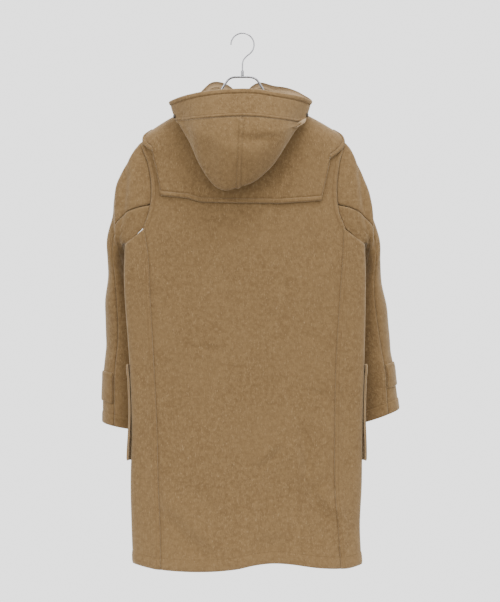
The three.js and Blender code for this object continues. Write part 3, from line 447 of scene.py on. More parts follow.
def wall_mesh(spots, out, thickness=CLOTH, keep=None):
    """Vertices and faces of a closed wall of cloth from a grid of points on its outer face."""
    rows, columns = spots.shape[:2]
    if keep is None:
        keep = np.ones((rows - 1, columns - 1), bool)
    layers = np.concatenate([spots.reshape(-1, 3), (spots - out * thickness).reshape(-1, 3)])
    number = np.arange(rows * columns).reshape(rows, columns)
    a, b = number[:-1, :-1][keep], number[:-1, 1:][keep]
    c, d = number[1:, 1:][keep], number[1:, :-1][keep]
    below = rows * columns
    corner_normal = np.cross(spots.reshape(-1, 3)[b] - spots.reshape(-1, 3)[a],
                             spots.reshape(-1, 3)[d] - spots.reshape(-1, 3)[a])
    outward = np.sum(corner_normal * out.reshape(-1, 3)[a]) > 0
    front = np.stack([a, b, c, d], 1)
    back = np.stack([a, d, c, b], 1) + below
    padded = np.zeros((rows + 1, columns + 1), bool)
    padded[1:-1, 1:-1] = keep
    rims = []
    for j, i, first, second in ((-1, 0, (0, 0), (0, 1)), (0, 1, (0, 1), (1, 1)),
                                (1, 0, (1, 1), (1, 0)), (0, -1, (1, 0), (0, 0))):
        near = padded[1 + j:rows + j, 1 + i:columns + i]
        open_cells = np.argwhere(keep & ~near)
        p = number[open_cells[:, 0] + first[0], open_cells[:, 1] + first[1]]
        q = number[open_cells[:, 0] + second[0], open_cells[:, 1] + second[1]]
        rims.append(np.stack([q, p, p + below, q + below], 1))
    faces = np.concatenate([front, back, *rims])
    if not outward:
        faces = faces[:, ::-1]
    used = np.unique(faces)
    renumber = np.zeros(2 * below, int)
    renumber[used] = np.arange(len(used))
    return layers[used], renumber[faces].tolist(), used


def cloth(name, grid, node=None, thickness=CLOTH, keep=None, stitch=None, material=None):
    """A closed wall of cloth. stitch gives each point's distance from a stitched line, in mm."""
    spots, out = grid
    vertices, faces, used = wall_mesh(spots, out, thickness, keep)
    piece = new_object(name, vertices, faces, node or name, material or MATERIALS["wool"])
    flat = np.full(spots.shape[:2], 99.0) if stitch is None else np.broadcast_to(stitch, spots.shape[:2])
    both = np.concatenate([flat.ravel(), flat.ravel()])[used]
    inner = np.concatenate([np.zeros(flat.size), np.ones(flat.size)])[used]
    add_attribute(piece, "stitch", both)
    add_attribute(piece, "inside", inner)
    return piece


def spacing(spots, axis):
    """Running length of a grid along an axis, in mm."""
    steps = np.linalg.norm(np.diff(spots, axis=axis), axis=-1)
    shape = list(steps.shape)
    shape[axis] = 1
    return np.concatenate([np.zeros(shape), np.cumsum(steps, axis=axis)], axis=axis)


def edge_distance(spots, axis, from_end=False):
    run = spacing(spots, axis)
    if not from_end:
        return run
    return np.take(run, [-1], axis=axis) - run


def hem_roll(distance, width=26, height=1.6):
    """The relief of a turned hem: thicker up to its stitch line, which is drawn in."""
    turned = height * (1 - ease(width - 3, width + 3, distance))
    groove = -1.1 * np.exp(-((distance - width) / 2.6) ** 2)
    edge = -1.2 * (1 - ease(0, 4, distance))
    return turned + groove + edge


# Materials


def node(tree, kind, **values):
    made = tree.nodes.new(kind)
    for name, value in values.items():
        if name in made.inputs:
            made.inputs[name].default_value = value
        else:
            setattr(made, name, value)
    return made


def start_material(name, **shader):
    material = bpy.data.materials.new(name)
    material.use_nodes = True
    tree = material.node_tree
    bsdf = tree.nodes["Principled BSDF"]
    for key, value in shader.items():
        bsdf.inputs[key.replace("_", " ")].default_value = value
    return material, tree, bsdf


def noise(tree, coordinates, scale, detail=4, roughness=0.55):
    made = node(tree, "ShaderNodeTexNoise", Scale=scale, Detail=detail, Roughness=roughness)
    tree.links.new(coordinates, made.inputs["Vector"])
    return made.outputs["Fac"]


def math_node(tree, operation, a, b=0.0, clamp=False):
    made = tree.nodes.new("ShaderNodeMath")
    made.operation = operation
    made.use_clamp = clamp
    for k, value in enumerate((a, b)):
        if isinstance(value, (int, float)):
            made.inputs[k].default_value = value
        else:
            tree.links.new(value, made.inputs[k])
    return made.outputs[0]


def mix_colour(tree, share, a, b, blend="MIX"):
    made = tree.nodes.new("ShaderNodeMix")
    made.data_type = "RGBA"
    made.blend_type = blend
    for socket, value in ((made.inputs[0], share), (made.inputs[6], a), (made.inputs[7], b)):
        if isinstance(value, (int, float, tuple)):
            socket.default_value = value
        else:
            tree.links.new(value, socket)
    return made.outputs[2]


def ramp(tree, value, low, high):
    made = node(tree, "ShaderNodeMapRange", **{"From Min": low, "From Max": high})
    made.interpolation_type = "SMOOTHSTEP"
    tree.links.new(value, made.inputs["Value"])
    return made.outputs["Result"]


def bump(tree, height, distance, strength, below=None):
    made = node(tree, "ShaderNodeBump", Distance=distance, Strength=strength)
    tree.links.new(height, made.inputs["Height"])
    if below is not None:
        tree.links.new(below, made.inputs["Normal"])
    return made.outputs["Normal"]


def attribute(tree, name):
    made = tree.nodes.new("ShaderNodeAttribute")
    made.attribute_name = name
    return made.outputs["Fac"]


def wool_material():
    """Felted wool: mottled, with a short nap, painted shade along its stitched lines and a paler inner face.
    """
    base, dark, light = (0.150, 0.092, 0.039, 1), (0.105, 0.061, 0.024, 1), (0.235, 0.158, 0.080, 1)
    pale = (0.30, 0.21, 0.12, 1)
    material, tree, bsdf = start_material("wool", Roughness=0.94)
    bsdf.inputs["Sheen Weight"].default_value = 0.28
    bsdf.inputs["Sheen Roughness"].default_value = 0.5
    bsdf.inputs["Sheen Tint"].default_value = (0.95, 0.80, 0.58, 1)
    bsdf.inputs["Specular IOR Level"].default_value = 0.15
    place = tree.nodes.new("ShaderNodeTexCoord").outputs["Object"]
    broad = noise(tree, place, 9, 3)
    mottle = noise(tree, place, 120, 5, 0.65)
    fibre = noise(tree, place, 900, 4, 0.7)
    stretched = node(tree, "ShaderNodeMapping", Scale=(1.0, 1.0, 0.35))
    tree.links.new(place, stretched.inputs["Vector"])
    nap = noise(tree, stretched.outputs["Vector"], 420, 5, 0.7)
    colour = mix_colour(tree, ramp(tree, mottle, 0.3, 0.72), dark, base)
    colour = mix_colour(tree, ramp(tree, nap, 0.52, 0.78), colour, light)
    colour = mix_colour(tree, math_node(tree, "MULTIPLY", ramp(tree, broad, 0.35, 0.7), 0.35), colour, base)
    off_line = math_node(tree, "ABSOLUTE", attribute(tree, "stitch"))
    in_stitch_groove = math_node(tree, "SUBTRACT", 1.0, ramp(tree, off_line, 0.2, 2.0))
    # Painted shade: the colour darkens along each stitched line to stand for the shade in the stitch groove;
    # the same mask also dents the bump below
    colour = mix_colour(tree, math_node(tree, "MULTIPLY", in_stitch_groove, 0.35), colour, dark)
    colour = mix_colour(tree, math_node(tree, "MULTIPLY", attribute(tree, "inside"), 0.75), colour, pale)
    tree.links.new(colour, bsdf.inputs["Base Color"])
    soft = bump(tree, mottle, 0.0022, 0.55)
    felt = bump(tree, nap, 0.0010, 0.6, soft)
    hair = bump(tree, fibre, 0.0005, 0.6, felt)
    drawn = math_node(tree, "SUBTRACT", 1.0, in_stitch_groove)
    tree.links.new(bump(tree, drawn, 0.0009, 0.5, hair), bsdf.inputs["Normal"])
    return material


def leather_material():
    material, tree, bsdf = start_material("leather", Roughness=0.5)
    place = tree.nodes.new("ShaderNodeTexCoord").outputs["Object"]
    patches = noise(tree, place, 60, 4)
    grain = node(tree, "ShaderNodeTexVoronoi", Scale=700)
    tree.links.new(place, grain.inputs["Vector"])
    colour = mix_colour(tree, ramp(tree, patches, 0.3, 0.7), (0.10, 0.048, 0.022, 1), (0.19, 0.10, 0.05, 1))
    tree.links.new(colour, bsdf.inputs["Base Color"])
    tree.links.new(ramp(tree, patches, 0.0, 1.6), bsdf.inputs["Roughness"])
    tree.links.new(bump(tree, grain.outputs["Distance"], 0.0004, 0.5), bsdf.inputs["Normal"])
    return material


def wood_material():
    material, tree, bsdf = start_material("toggle_wood", Roughness=0.38)
    place = tree.nodes.new("ShaderNodeTexCoord").outputs["Object"]
    stretched = node(tree, "ShaderNodeMapping", Scale=(14.0, 14.0, 1.2))
    tree.links.new(place, stretched.inputs["Vector"])
    grain = noise(tree, stretched.outputs["Vector"], 28, 6, 0.7)
    colour = mix_colour(tree, ramp(tree, grain, 0.35, 0.65), (0.10, 0.045, 0.018, 1), (0.30, 0.16, 0.07, 1))
    tree.links.new(colour, bsdf.inputs["Base Color"])
    tree.links.new(bump(tree, grain, 0.0003, 0.4), bsdf.inputs["Normal"])
    return material


def cord_material():
    material, tree, bsdf = start_material("cord", Roughness=0.85)
    place = tree.nodes.new("ShaderNodeTexCoord").outputs["Object"]
    strands = node(tree, "ShaderNodeTexWave", Scale=260, Distortion=1.5)
    strands.bands_direction = "DIAGONAL"
    tree.links.new(place, strands.inputs["Vector"])
    colour = mix_colour(tree, strands.outputs["Fac"], (0.12, 0.07, 0.03, 1), (0.30, 0.20, 0.10, 1))
    tree.links.new(colour, bsdf.inputs["Base Color"])
    tree.links.new(bump(tree, strands.outputs["Fac"], 0.0006, 0.8), bsdf.inputs["Normal"])
    return material


def metal_material(name, dark, light, low, high):
    material, tree, bsdf = start_material(name, Metallic=1.0)
    place = tree.nodes.new("ShaderNodeTexCoord").outputs["Object"]
    wear = noise(tree, place, 240, 5)
    tree.links.new(mix_colour(tree, wear, dark, light), bsdf.inputs["Base Color"])
    spread = node(tree, "ShaderNodeMapRange", **{"To Min": low, "To Max": high})
    tree.links.new(wear, spread.inputs["Value"])
    tree.links.new(spread.outputs["Result"], bsdf.inputs["Roughness"])
    tree.links.new(bump(tree, wear, 0.0001, 0.3), bsdf.inputs["Normal"])
    return material


MATERIALS = {
    "wool": wool_material(),
    "leather": leather_material(),
    "wood": wood_material(),
    "cord": cord_material(),
    "steel": metal_material("hanger_steel", (0.16, 0.16, 0.17, 1), (0.38, 0.38, 0.40, 1), 0.14, 0.28),
    "snap": metal_material("snap_metal", (0.03, 0.026, 0.022, 1), (0.09, 0.075, 0.06, 1), 0.25, 0.4),
}


# The body


def upper_rows(face, armhole_rows, shoulder_rows):
    """Levels above the side seam's end: end height, middle height and the edge's half widths."""
    steps = np.linspace(JUNCTION_STEP, 0, armhole_rows + 1)
    drop = NECK_BACK_DROP if face > 0 else NECK_FRONT_DROP
    t = np.linspace(0, 1, shoulder_rows + 1)[1:]
    end = np.concatenate([armhole_z(steps), mix(SHOULDER_TIP_Z, NECK_SIDE_Z, t)])
    middle = np.concatenate([armhole_z(steps), mix(SHOULDER_TIP_Z, NECK_SIDE_Z - drop, t)])
    edges = {}
    for side in (1, -1):
        lower = armhole_edge(armhole_z(steps), side, face)
        edges[side] = np.concatenate([lower, half_width(mix(SHOULDER_TIP_Z, NECK_SIDE_Z, t), side)])
    return end, middle, edges


def back_grid(columns=96, lower=150, armhole_rows=44, shoulder_rows=18):
    q = np.linspace(1, -1, columns + 1)[None, :]
    side = np.where(q > 0, 1, -1)
    t = np.linspace(0, 1, lower, endpoint=False)[:, None]
    level = mix(hem(0, "z"), JUNCTION_Z, t)
    crowded = mix(q, np.sin(np.pi / 2 * q), ease(JUNCTION_Z - 150, SHOULDER_TIP_Z, level))
    x = crowded * seam_at(level, side)
    z = mix(hem(x, "z"), JUNCTION_Z, t)
    end, middle, edges = upper_rows(1, armhole_rows, shoulder_rows)
    end, middle = end[:, None], middle[:, None]
    share = mix(q, np.sin(np.pi / 2 * q), ease(JUNCTION_Z - 150, SHOULDER_TIP_Z, end))
    x_up = share * np.where(side > 0, edges[1][:, None], edges[-1][:, None])
    z_up = mix(middle, end, share ** 2)
    x, z = np.concatenate([x, x_up]), np.concatenate([z, z_up])
    return torso_skin(angle_of(x, z, 1, x > 0), z)


def make_back():
    spots, out = back_grid()
    rise = edge_distance(spots, 0)
    side = np.minimum(edge_distance(spots, 1), edge_distance(spots, 1, True))
    spots = spots + out * hem_roll(rise)[..., None]
    lapped = -2.4 * (1 - ease(2, 14, side))
    band = 1.8 * (1 - ease(8, 11, side)) - 2.0 * (1 - ease(0, 3.5, side)) ** 2
    band = band - 0.8 * np.exp(-((side - 11) / 2) ** 2)
    z = spots[..., 2]
    on_shoulder = ease(SHOULDER_TIP_Z - 14, SHOULDER_TIP_Z - 4, z)
    by_armhole = ease(JUNCTION_Z - 4, JUNCTION_Z + 12, z) * (1 - on_shoulder)
    spots = spots + out * mix(lapped * (1 - on_shoulder), band, by_armhole)[..., None]
    stitch = np.where(by_armhole > 0.5, side - 10, rise - 26)
    piece = cloth("back_panel_cloth", (spots, out), "back_panel", stitch=stitch)


def front_grid(side, wrap=40, across=46, lower=120, armhole_rows=36, shoulder_rows=16):
    """A front with the strip that wraps round the side to the seam on the back."""
    shares = np.linspace(1, -1, wrap + 1)[None, :]
    t = np.linspace(0, 1, lower + 1)[:, None]
    level = mix(hem(0, "z"), JUNCTION_Z, t)
    seam_angle = angle_at_x(side * (seam_at(level, side) - 4), level)
    corner_x = front_corner(level, side)
    corner_angle = angle_at_x(side * corner_x, level)
    angle = np.where(shares > 0, shares * seam_angle, shares * corner_angle)
    angle = angle if side > 0 else np.pi - angle
    top = mix(UNDERARM_Z, JUNCTION_Z, shares ** 2)
    x_wrap = torso(angle, level)[..., 0]
    wrap_z = mix(hem(x_wrap, "z"), top, t)
    s = 1 - np.sin(np.pi / 2 * (1 - np.linspace(0, 1, across + 1)[1:]))[None, :]
    centre = side * -FRONT_OVERLAP
    x = mix(side * corner_x, centre, s)
    z = mix(hem(x, "z") + 2, JUNCTION_Z, t)
    lower_angle = angle_of(x, z, -1, side > 0)
    end, middle, edges = upper_rows(-1, armhole_rows, shoulder_rows)
    end, middle, edge = end[1:, None], middle[1:, None], side * edges[side][1:, None]
    s_up = np.concatenate([[[0.0]], s], 1)
    x_up = mix(edge, centre, s_up)
    z_up = mix(middle, end, np.minimum(1, np.abs(x_up / edge)) ** 2)
    fill = np.repeat(angle_of(x_up[:, :1], z_up[:, :1], -1, side > 0), wrap, 1)
    angles = np.concatenate([
        np.concatenate([angle, lower_angle], 1),
        np.concatenate([fill, angle_of(x_up, z_up, -1, side > 0)], 1)])
    heights = np.concatenate([
        np.concatenate([wrap_z, z], 1),
        np.concatenate([np.repeat(z_up[:, :1], wrap, 1), z_up], 1)])
    spots, out = torso_skin(angles, heights)
    if side > 0:
        in_front = np.arange(spots.shape[1]) >= wrap
        spots[..., 1] -= np.where(in_front, overlap_lift(spots[..., 0]), 0)
    keep = np.ones((spots.shape[0] - 1, spots.shape[1] - 1), bool)
    keep[lower:, :wrap] = False
    return spots, out, keep, wrap


def make_front(side):
    spots, out, keep, wrap = front_grid(side)
    rise = edge_distance(spots, 0)
    seam = edge_distance(spots, 1)
    edge = edge_distance(spots, 1, True)
    lap = 1.5 * (1 - ease(9, 26, seam)) - 1.3 * (1 - ease(0, 4, seam))
    relief = hem_roll(rise) + lap - 1.0 * (1 - ease(0, 4, edge))
    spots = spots + out * relief[..., None]
    name = "left" if side > 0 else "right"
    stitch = np.where(np.abs(rise - 26) < np.abs(seam - 8), rise - 26, seam - 8)
    stitch = np.where(np.abs(edge - 8) < np.abs(stitch), edge - 8, stitch)
    piece = cloth(f"front_{name}_cloth", (spots, out), f"front_{name}", keep=keep, stitch=stitch)


# The yoke


def yoke_ends():
    ends = []
    for k, row in enumerate(YOKE_OUTLINE):
        left_half = k < len(YOKE_OUTLINE) / 2
        if row["face"] == 0:
            angle = 0 if left_half else math.pi
            ends.append({"k": k, "start": angle, "end": angle, "low": NECK_SIDE_Z, "high": row["z"]})
            continue
        start_z = float(neck_z(row["neck"], row["face"]))
        start = float(angle_of(np.float64(row["neck"]), start_z, row["face"], left_half))
        end = float(angle_of(np.float64(row["x"]), row["z"], row["face"], left_half))
        ends.append({"k": k, "start": start, "end": end, "low": start_z, "high": row["z"]})
    return ends


def yoke_grid():
    ends = yoke_ends()
    stations = []
    for k in range(len(ends) - 1):
        a, b = YOKE_OUTLINE[k], YOKE_OUTLINE[k + 1]
        turn = abs(ends[k + 1]["end"] - ends[k]["end"])
        length = math.hypot(b["x"] - a["x"], b["z"] - a["z"])
        parts = max(4, round(length / 7), math.ceil(turn / 0.03))
        stations += [k + part / parts for part in range(parts)]
    stations.append(len(ends) - 1.0001)
    at = np.array(stations)
    column = {name: np.interp(at, np.arange(len(ends)), [row[name] for row in ends])
              for name in ("start", "end", "low", "high")}
    share = np.concatenate([np.linspace(0, 0.84, 26), np.linspace(0.86, 1, 22)])[:, None]
    angle = mix(column["start"], column["end"], share)
    z = mix(column["low"], column["high"], share)
    spots, out = torso_skin(angle, z)
    left_front = (at < len(ends) / 2)[None, :] & (spots[..., 1] < 0)
    spots[..., 1] -= np.where(left_front, overlap_lift(spots[..., 0]), 0)
    return spots, out


def make_yoke():
    spots, out = yoke_grid()
    edge = edge_distance(spots, 0, True)
    rim = 1.9 * (1 - ease(8, 11, edge)) - 1.2 * np.exp(-((edge - 10.5) / 2.2) ** 2)
    rim = rim - 2.6 * (1 - ease(0, 4, edge)) ** 2
    uneven = undulation(spots[..., 0], spots[..., 2], 21, 0.35)
    spots = spots + out * (YOKE_LIFT + rim + uneven)[..., None]
    ends = np.minimum(edge_distance(spots, 1), edge_distance(spots, 1, True))
    spots = spots - out * (1.0 * (1 - ease(0, 4, ends)))[..., None]
    piece = cloth("yoke_cloth", (spots, out), "yoke", thickness=3.4, stitch=edge - 10.5)


# The hood


def hood_neck(angle, side):
    """Where the hood is sewn to the neckline, above the panels and the yoke."""
    turn = np.radians(angle)
    drop = np.where(angle > 0, NECK_BACK_DROP, NECK_FRONT_DROP)
    z = NECK_SIDE_Z - drop * np.sin(turn) ** 2
    x = side * NECK_HALF_WIDTH * np.cos(turn)
    place = angle_of(x, z, np.where(angle > 0, 1, -1), side > 0)
    across = torso(place + 0.01, z) - torso(place - 0.01, z)
    along = torso(place, z + 1) - torso(place, z - 1)
    spot = torso(place, z) + unit(np.cross(across, along)) * HOOD_SEAT
    shift = x if side > 0 else np.maximum(0, -x - 20)
    lift = np.where(angle <= 0, overlap_lift(shift), 0)
    return spot + points(0 * lift, -lift, 0.6 + 0 * lift)


HOOD = {1: follow(HOOD_LEFT, "at"), -1: follow(HOOD_RIGHT, "at")}
HOOD_RIM = {
    1: follow(HOOD_LEFT[:-1] + THROAT_LEFT, "at"),
    -1: follow(HOOD_RIGHT[:-1] + THROAT_RIGHT, "at"),
}


def hood_side_point(place, up, side):
    """A point of one half of the hood: place runs to the throat (11), up from neck (0) to rim (6)."""
    neck = hood_neck(HOOD_RIM[side](place, "neck"), side)
    rim = HOOD_RIM[side](place, "rim")
    knots = [neck]
    for k, line in enumerate(HOOD_LINES):
        upright = mix(neck, rim, 0.07 * (k + 1))
        folded = HOOD[side](np.minimum(place, LAST_FOLD), line)
        share = ease(LAST_FOLD, LAST_FOLD + 1, place)[..., None]
        knots.append(mix(folded, upright, share))
    knots.append(rim)
    return through_knots(np.stack(knots), up)


def through_knots(values, up):
    """The smooth curve through evenly numbered knots, for arrays of knots."""
    last = len(values) - 1
    before = np.maximum(np.arange(last + 1) - 1, 0)
    after = np.minimum(np.arange(last + 1) + 1, last)
    slopes = (values[after] - values[before]) / (after - before).reshape((-1,) + (1,) * (values.ndim - 1))
    at = np.clip(up, 0, last)
    k = np.clip(np.floor(at).astype(int), 0, last - 1)
    t = (at - k)[..., None]
    index = (k,) + tuple(np.indices(k.shape))
    following = (k + 1,) + tuple(np.indices(k.shape))
    curve = (1 + 2 * t) * (1 - t) ** 2 * values[index] + t * t * (3 - 2 * t) * values[following]
    return curve + t * (1 - t) * ((1 - t) * slopes[index] - t * slopes[following])


# Folds of the hood's hanging cloth: the middle and reach of each, in place and level, and its height
HOOD_FOLDS = table("at up wide high slant height", [
    (-0.9, 4.15, 1.3, 0.20, 0.10, -7.0), (-0.9, 3.75, 1.5, 0.30, 0.10, 3.0),
     (-2.6, 3.3, 0.8, 0.5, -0.3, 2.5),
    (2.3, 3.6, 0.7, 0.6, 0.25, -2.5), (3.4, 3.9, 0.7, 0.6, 0.2, 2.5), (1.2, 2.7, 0.9, 0.4, 0.0, -2.0),
    (4.3, 4.2, 0.5, 0.6, 0.0, -2.2), (-3.9, 4.1, 0.6, 0.6, 0.0, -2.2),
])


def hood_point(at, up):
    at, up = np.broadcast_arrays(np.asarray(at, float), np.asarray(up, float))
    place = np.abs(at)
    left, right = hood_side_point(place, up, 1), hood_side_point(place, up, -1)
    return np.where((at < 0)[..., None], right, left)


def hood_skin(at, up):
    spots, out = skin(hood_point, at, up, -1)
    at, up = np.broadcast_arrays(np.asarray(at, float), np.asarray(up, float))
    relief = np.zeros_like(at)
    for row in HOOD_FOLDS:
        level = up - row["up"] - row["slant"] * (at - row["at"])
        relief += row["height"] * np.exp(-((at - row["at"]) / row["wide"]) ** 2 - (level / row["high"]) ** 2)
    relief += undulation(spots[..., 0] + spots[..., 1], spots[..., 2], 33, 0.5)
    return spots + out * relief[..., None], out


def make_hood():
    places = np.concatenate([np.linspace(0.015, 6, 54), np.linspace(6.1, 11, 42)])
    runs = ((0, 2.4, 26), (2.45, 3.4, 20), (3.45, 4.985, 30))
    levels = np.concatenate([np.linspace(*run) for run in runs])
    for side, name in ((1, "left"), (-1, "right")):
        grid = hood_skin(side * places[None, :], levels[:, None])
        edge = edge_distance(grid[0], 0, True)
        lowered = grid[0] - grid[1] * (0.8 * (1 - ease(0, 4, edge)))[..., None]
        centre = edge_distance(grid[0], 1)
        piece = cloth(f"hood_{name}_cloth", (lowered, grid[1]), f"hood_{name}", stitch=centre - 1)
    across = np.concatenate([-places[::-1], places])
    up = np.concatenate([np.linspace(5.012, 5.75, 16), np.linspace(5.78, 6, 14)])
    spots, out = hood_skin(across[None, :], up[:, None])
    edge = edge_distance(spots, 0, True)
    foot = edge_distance(spots, 0)
    relief = 1.6 * (1 - ease(9, 12, edge)) - 1.0 * np.exp(-((edge - 11) / 2.2) ** 2)
    relief = relief - 2.2 * (1 - ease(0, 3.5, edge)) ** 2 + 0.9 * (1 - ease(2, 9, foot))
    stitch = np.where(np.abs(edge - 11) < np.abs(foot - 6), edge - 11, foot - 6)
    brim = cloth("hood_brim_cloth", (spots + out * relief[..., None], out), "hood_brim", stitch=stitch)
    make_tape()
    make_snaps()


def make_tape():
    up = np.linspace(0.4, 4.9, 70)[:, None]
    at = np.linspace(-0.13, 0.17, 9)[None, :]
    spots, out = hood_skin(at, up)
    edge = np.minimum(edge_distance(spots, 1), edge_distance(spots, 1, True))
    relief = 2.2 - 0.9 * (1 - ease(0, 1.6, edge))
    piece = cloth("hood_tape_cloth", (spots + out * relief[..., None], out), "hood_tape",
                  thickness=1.2, stitch=edge - 1.8)


# The sleeves

SLEEVES = {1: follow(SLEEVE_LEFT, "at"), -1: follow(SLEEVE_RIGHT, "at")}
back_seam = follow(SLEEVE_BACK_SEAM, "at")
tuck = follow(SLEEVE_TUCK, "at")


def armhole_point(angle, side):
    """A point of the armhole: angle 0 is the shoulder tip, a right angle the back."""
    face = np.where(np.sin(angle) >= 0, 1, -1)
    z = mix(SHOULDER_TIP_Z, UNDERARM_Z, (1 - np.cos(angle)) / 2)
    edge = np.where(face > 0, armhole_edge(z, side, 1), armhole_edge(z, side, -1))
    upper = torso(angle_of(side * edge, z, face, side > 0), z)
    seam_angle = angle_at_x(side * seam_at(JUNCTION_Z, side), JUNCTION_Z)
    corner_angle = angle_at_x(side * front_corner(JUNCTION_Z, side), JUNCTION_Z)
    turn = face * underarm_share(z) * np.where(face > 0, seam_angle, corner_angle)
    lower = torso(turn if side > 0 else np.pi - turn, z)
    spot = np.where((z > JUNCTION_Z)[..., None], upper, lower)
    rise = SLEEVE_GAP * np.maximum(0, -np.cos(angle))
    return spot + points(side * SLEEVE_GAP, 0, rise)


def sleeve_point(at, angle, side):
    """A point of a sleeve: at runs down to the cuff (1), angle round from its outer edge."""
    at, angle = np.broadcast_arrays(np.asarray(at, float), np.asarray(angle, float))
    place = np.maximum(at, SLEEVE_START)
    outward = np.array([side, 1, 1])

    def line(name):
        return SLEEVES[side](place, name) * outward

    outer, inner = line("outer"), line("inner")
    centre = (outer + inner) / 2
    flat = np.where((np.sin(angle) > 0)[..., None], line("back"), line("front"))
    cos, sin = np.cos(angle)[..., None], np.abs(np.sin(angle))[..., None]
    oval = centre + (outer - centre) * cos + (flat - centre) * sin
    start = np.where(cos[..., 0] > 0, 0.0, np.pi)
    quarter = np.sign(np.sin(angle)) * np.pi / 2
    hole = armhole_point(angle, side)
    moves = np.clip(at / SLEEVE_START, 0, 1)[..., None]
    edge = np.where(cos > 0, outer, inner) - armhole_point(start, side)
    middle = flat - armhole_point(quarter, side)
    spots = hole + edge * moves * cos ** 2 + middle * moves * sin ** 2
    spots = mix(spots, oval, ease(0.12, 0.58, at)[..., None])
    below_back = (np.cos(angle) < 0) & (np.sin(angle) > 0)
    share = np.where(below_back, np.sin(2 * angle) ** 2, 0)[..., None]
    return spots + share * tuck(at, "shift") * outward


def sleeve_skin(at, angle, side):
    """Points of a sleeve with its folds. Directions over a wide step turn smoothly."""
    turn, step = 0.16, 0.035
    around = sleeve_point(at, angle + turn, side) - sleeve_point(at, angle - turn, side)
    lower, upper = np.minimum(1, at + step), np.maximum(0, at - step)
    down = sleeve_point(lower, angle, side) - sleeve_point(upper, angle, side)
    spots, out = sleeve_point(at, angle, side), unit(np.cross(around, down)) * -side
    degrees = np.degrees(np.broadcast_to(angle, spots.shape[:2]))
    at = np.broadcast_to(at, spots.shape[:2])
    relief = np.zeros(spots.shape[:2])
    for row in SLEEVE_FOLDS:
        turned = (degrees - row["angle"] + 180) % 360 - 180
        level = at - row["at"] - row["slant"] * turned / 90
        relief += row["height"] * np.exp(-(turned / row["round"]) ** 2 - (level / row["along"]) ** 2)
    relief *= ease(0.05, 0.14, at) * (1 - ease(0.9, 0.97, at))
    relief += undulation(degrees * 0.9, at * 700, 41 + side, 0.5) * ease(0, 0.08, at)
    return spots + out * relief[..., None], out


def make_sleeve(side):
    name = "left" if side > 0 else "right"
    runs = ((0, 0.1, 14), (0.11, 0.94, 100), (0.945, 1, 14))
    at = np.concatenate([np.linspace(*run) for run in runs])[:, None]
    seam = back_seam(at, "angle")
    margin = 0.5
    for part, columns in (("top", 84), ("under", 52)):
        t = np.linspace(0, 1, columns + 1)[None, :]
        low = SLEEVE_FRONT_SEAM + margin if part == "top" else seam + margin
        high = seam - margin if part == "top" else 360 + SLEEVE_FRONT_SEAM - margin
        spots, out = sleeve_skin(at, np.radians(mix(low, high, t)), side)
        rise = edge_distance(spots, 0, True)
        side_edge = np.minimum(edge_distance(spots, 1), edge_distance(spots, 1, True))
        relief = hem_roll(rise, 27, 1.3) - 1.0 * (1 - ease(0, 5, side_edge))
        relief -= 2.6 * (1 - ease(0, 14, edge_distance(spots, 0)))
        piece = cloth(f"sleeve_{name}_{part}_cloth", (spots + out * relief[..., None], out),
                      f"sleeve_{name}_{part}", stitch=rise - 27)


def make_cuff_tab(side):
    name = "left" if side > 0 else "right"
    start, end = (0.825, 0.925) if side > 0 else (0.79, 0.892)
    at = np.linspace(start, end, 26)[:, None]
    t = np.linspace(0, 1, 60)[None, :]
    angle = np.radians(mix(-70, back_seam(at, "angle") - 3, t))
    spots, out = sleeve_skin(at, angle, side)
    edge = np.minimum.reduce([edge_distance(spots, 0), edge_distance(spots, 0, True),
                              edge_distance(spots, 1), edge_distance(spots, 1, True)])
    relief = 3.6 - 1.6 * (1 - ease(0, 3.5, edge))
    piece = cloth(f"cuff_tab_{name}_cloth", (spots + out * relief[..., None], out), f"cuff_tab_{name}",
                  thickness=2.6, stitch=edge - 6)


# Pockets and closure


def make_pocket(side):
    name = "left" if side > 0 else "right"
    z = np.linspace(POCKET_TOP_Z, POCKET_BOTTOM_Z, 60)[:, None]
    corner_x = front_corner(z, side)
    corner_angle = angle_at_x(side * corner_x, z)
    shares = np.linspace(0.16, -1, 30)[None, :]
    wrap = shares * corner_angle
    wrap = wrap if side > 0 else np.pi - wrap
    x = side * mix(corner_x, POCKET_INNER_X, np.linspace(0, 1, 30)[1:][None, :])
    angle = np.concatenate([wrap, angle_of(x, z + 0 * x, -1, side > 0)], 1)
    spots, out = torso_skin(angle, z + 0 * angle)
    top, bottom = edge_distance(spots, 0), edge_distance(spots, 0, True)
    outer, inner = edge_distance(spots, 1), edge_distance(spots, 1, True)
    edge = np.minimum.reduce([bottom, outer, inner])
    proud = CLOTH + 1.6 + 1.2 * (1 - ease(22, 27, top)) - 1.4 * (1 - ease(0, 4, np.minimum(edge, top)))
    proud = proud + (1 - ease(0, 26, outer)) * (2.0 + 4.5 * ease(90, 200, top))
    stitch = np.where(np.abs(top - 26) < np.abs(edge - 6), top - 26, edge - 6)
    spots = spots + out * proud[..., None]
    piece = cloth(f"pocket_{name}_cloth", (spots, out), f"pocket_{name}", stitch=stitch)


def front_level(z):
    return -float(body(z, "front")) - float(overlap_lift(0))


